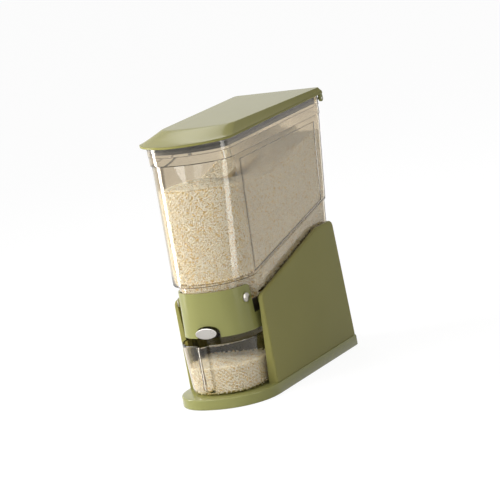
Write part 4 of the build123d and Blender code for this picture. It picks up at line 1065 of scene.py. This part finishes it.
# %% Cup shell
CUP_RIM, CUP_FOOT, CUP_WALL = 85.0, 15.3, 2.0
CUP_HALF, CUP_TAPER, CUP_REAR, CUP_CORNER = 55.0, 4.5, -60.5, 14.0
CUP_START, CUP_FRONT, CUP_FRONT_TAPER, CUP_POWER = -107.1, -158.3, 1.2, 2.3
FOOT_ROUND, WALL_FROM, WALL_ROWS, CUP_BOW_POINTS = 6.0, 22.5, 16, 150
GRIP_PLACE, GRIP_HALF, GRIP_REAR, GRIP_FOOT, GRIP_RISE = -5.0, 8.2, -120.0, 21.0, 7.0
GRIP_DEPTH_FOOT, GRIP_DEPTH_RIM, GRIP_INSET = 12.2, 9.0, 1.6
GRIP_MATT, GRIP_MATT_FOOT, GRIP_EDGE, GRIP_EDGE_HALF = 3.2, 24.0, 0.93, 0.05


def cup_plan(height, inset, points=BOW_POINTS):
    """Plan of the cup, a little narrower at its foot."""
    share = (CUP_RIM - np.asarray(height, float)) / (CUP_RIM - CUP_FOOT)
    return plan(CUP_HALF - CUP_TAPER * share - inset, CUP_REAR - inset, CUP_START,
                CUP_FRONT + CUP_FRONT_TAPER * share + inset, CUP_POWER,
                np.maximum(CUP_CORNER - inset, 2.0), points=points)


def add_grip(rows, inset):
    """Push the front wall out by the bump: one minus the fourth power of the distance from the
    grip's middle, to the power 0.7, times a quick rise above its foot."""
    x, y, z = rows[..., 0], rows[..., 1], rows[..., 2]
    distance = np.abs(x - GRIP_PLACE) / (GRIP_HALF - inset)
    bulge = np.where((distance < 1) & (y < GRIP_REAR), (1 - distance.clip(0, 1) ** 4) ** 0.7, 0)
    rise = ((z - GRIP_FOOT - inset) / GRIP_RISE).clip(0, 1)
    depth = between((GRIP_DEPTH_FOOT, GRIP_DEPTH_RIM), (z - GRIP_FOOT) / (CUP_RIM - GRIP_FOOT))
    rows[..., 1] -= bulge * np.sqrt(1 - (1 - rise) ** 2) * (depth - 0.3 * inset)
    return rows


def cup_skin(inset, lips, grip_inset):
    """Rows of one skin, from the middle of its floor, round the foot and up to the rim."""
    turn = np.radians(np.linspace(0, 90, 7))
    foot, bend = CUP_FOOT + inset, FOOT_ROUND - inset
    insets = [40, 14, *inset + bend * (1 - np.sin(turn)), *np.full(WALL_ROWS, inset), *lips]
    heights = [foot, foot, *foot + bend * (1 - np.cos(turn)),
               *np.linspace(WALL_FROM, CUP_RIM - 1, WALL_ROWS), CUP_RIM - 0.4, CUP_RIM]
    return add_grip(stack(cup_plan(heights, np.array(insets), CUP_BOW_POINTS), heights), grip_inset)


outside = cup_skin(0.0, (0.15, 0.6), 0.0)
inside = cup_skin(CUP_WALL, (1.85, 1.4), GRIP_INSET)
rows = np.concatenate([outside, inside[::-1]])
cup = shell("clear_cup", rows, clear, "cup", sharp=50)
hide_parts("measuring_cup")
distance = np.abs(rows[..., 0] - GRIP_PLACE) / GRIP_HALF
front = (rows[..., 1] < GRIP_REAR) & (rows[..., 2] > GRIP_MATT_FOOT)
# Painted shade: a dark line along both edges of the grip.
edge = front & (np.abs(distance - GRIP_EDGE) < GRIP_EDGE_HALF)
write_numbers(cup, "frost", np.where(front, GRIP_MATT * (1 - distance).clip(0, 0.5), 0))
write_numbers(cup, "edge_shade_line", 0.5 * edge)
print("cup:", rows.shape)

# %% Rice in the cup
CUP_RICE, RICE_SINK, CUP_CENTRE = 53.5, 1.5, -105.0
MOUND_TALL, MOUND_Y, MOUND_SPREAD = 3.0, -112.0, (30.0, 24.0)
TOP_REAR_Y, TOP_FRONT_Y, TOP_BOW, TOP_ROOM = -66.0, -153.5, 46.6, 48.0


def cup_wall(inset, low, high):
    """Rows of the cup's inside wall between two heights."""
    heights = np.linspace(low, high, 8)
    return stack(cup_plan(heights, inset), heights)


def cup_heap(x, y):
    """The rice in the cup is almost level, with a low mound under the flap."""
    far = (x / MOUND_SPREAD[0]) ** 2 + ((y - MOUND_Y) / MOUND_SPREAD[1]) ** 2
    return CUP_RICE - RICE_SINK + MOUND_TALL * np.exp(-far)


def cup_surface():
    """Grid over the rice in the cup, inside its walls."""
    y = np.linspace(TOP_FRONT_Y, TOP_REAR_Y, 30)[:, None]
    ahead = ((CUP_START - y) / TOP_BOW).clip(0, 1)
    x = np.linspace(-1, 1, 30) * TOP_ROOM * np.clip(1 - ahead**CUP_POWER, 0.01, 1) ** (1 / CUP_POWER)
    y = np.broadcast_to(y, x.shape)
    return np.stack([x, y, cup_heap(x, y)], axis=-1)


total = 0
for number, depth in enumerate(LAYER_DEPTHS):
    spots = wall_spots(cup_wall(CUP_WALL + depth, CUP_FOOT + 4, CUP_RICE - 1), CUP_CENTRE)
    total += grains(f"cup_grains_{number}", spots, "cup", 51 + number, WALL_TILT, LAYER_SHADE * number)
total += cover("cup_top_grains", cup_surface(), 2.3, (0.3, 1.5), "cup", 61)
add_core("cup_rice_core", cup_wall(CUP_WALL + CORE_DEPTH, CUP_FOOT + 3, CUP_RICE - 2.5),
         cup_heap, 2.4, "rice_in_cup", "cup", 71)
print("grains in the cup:", total)
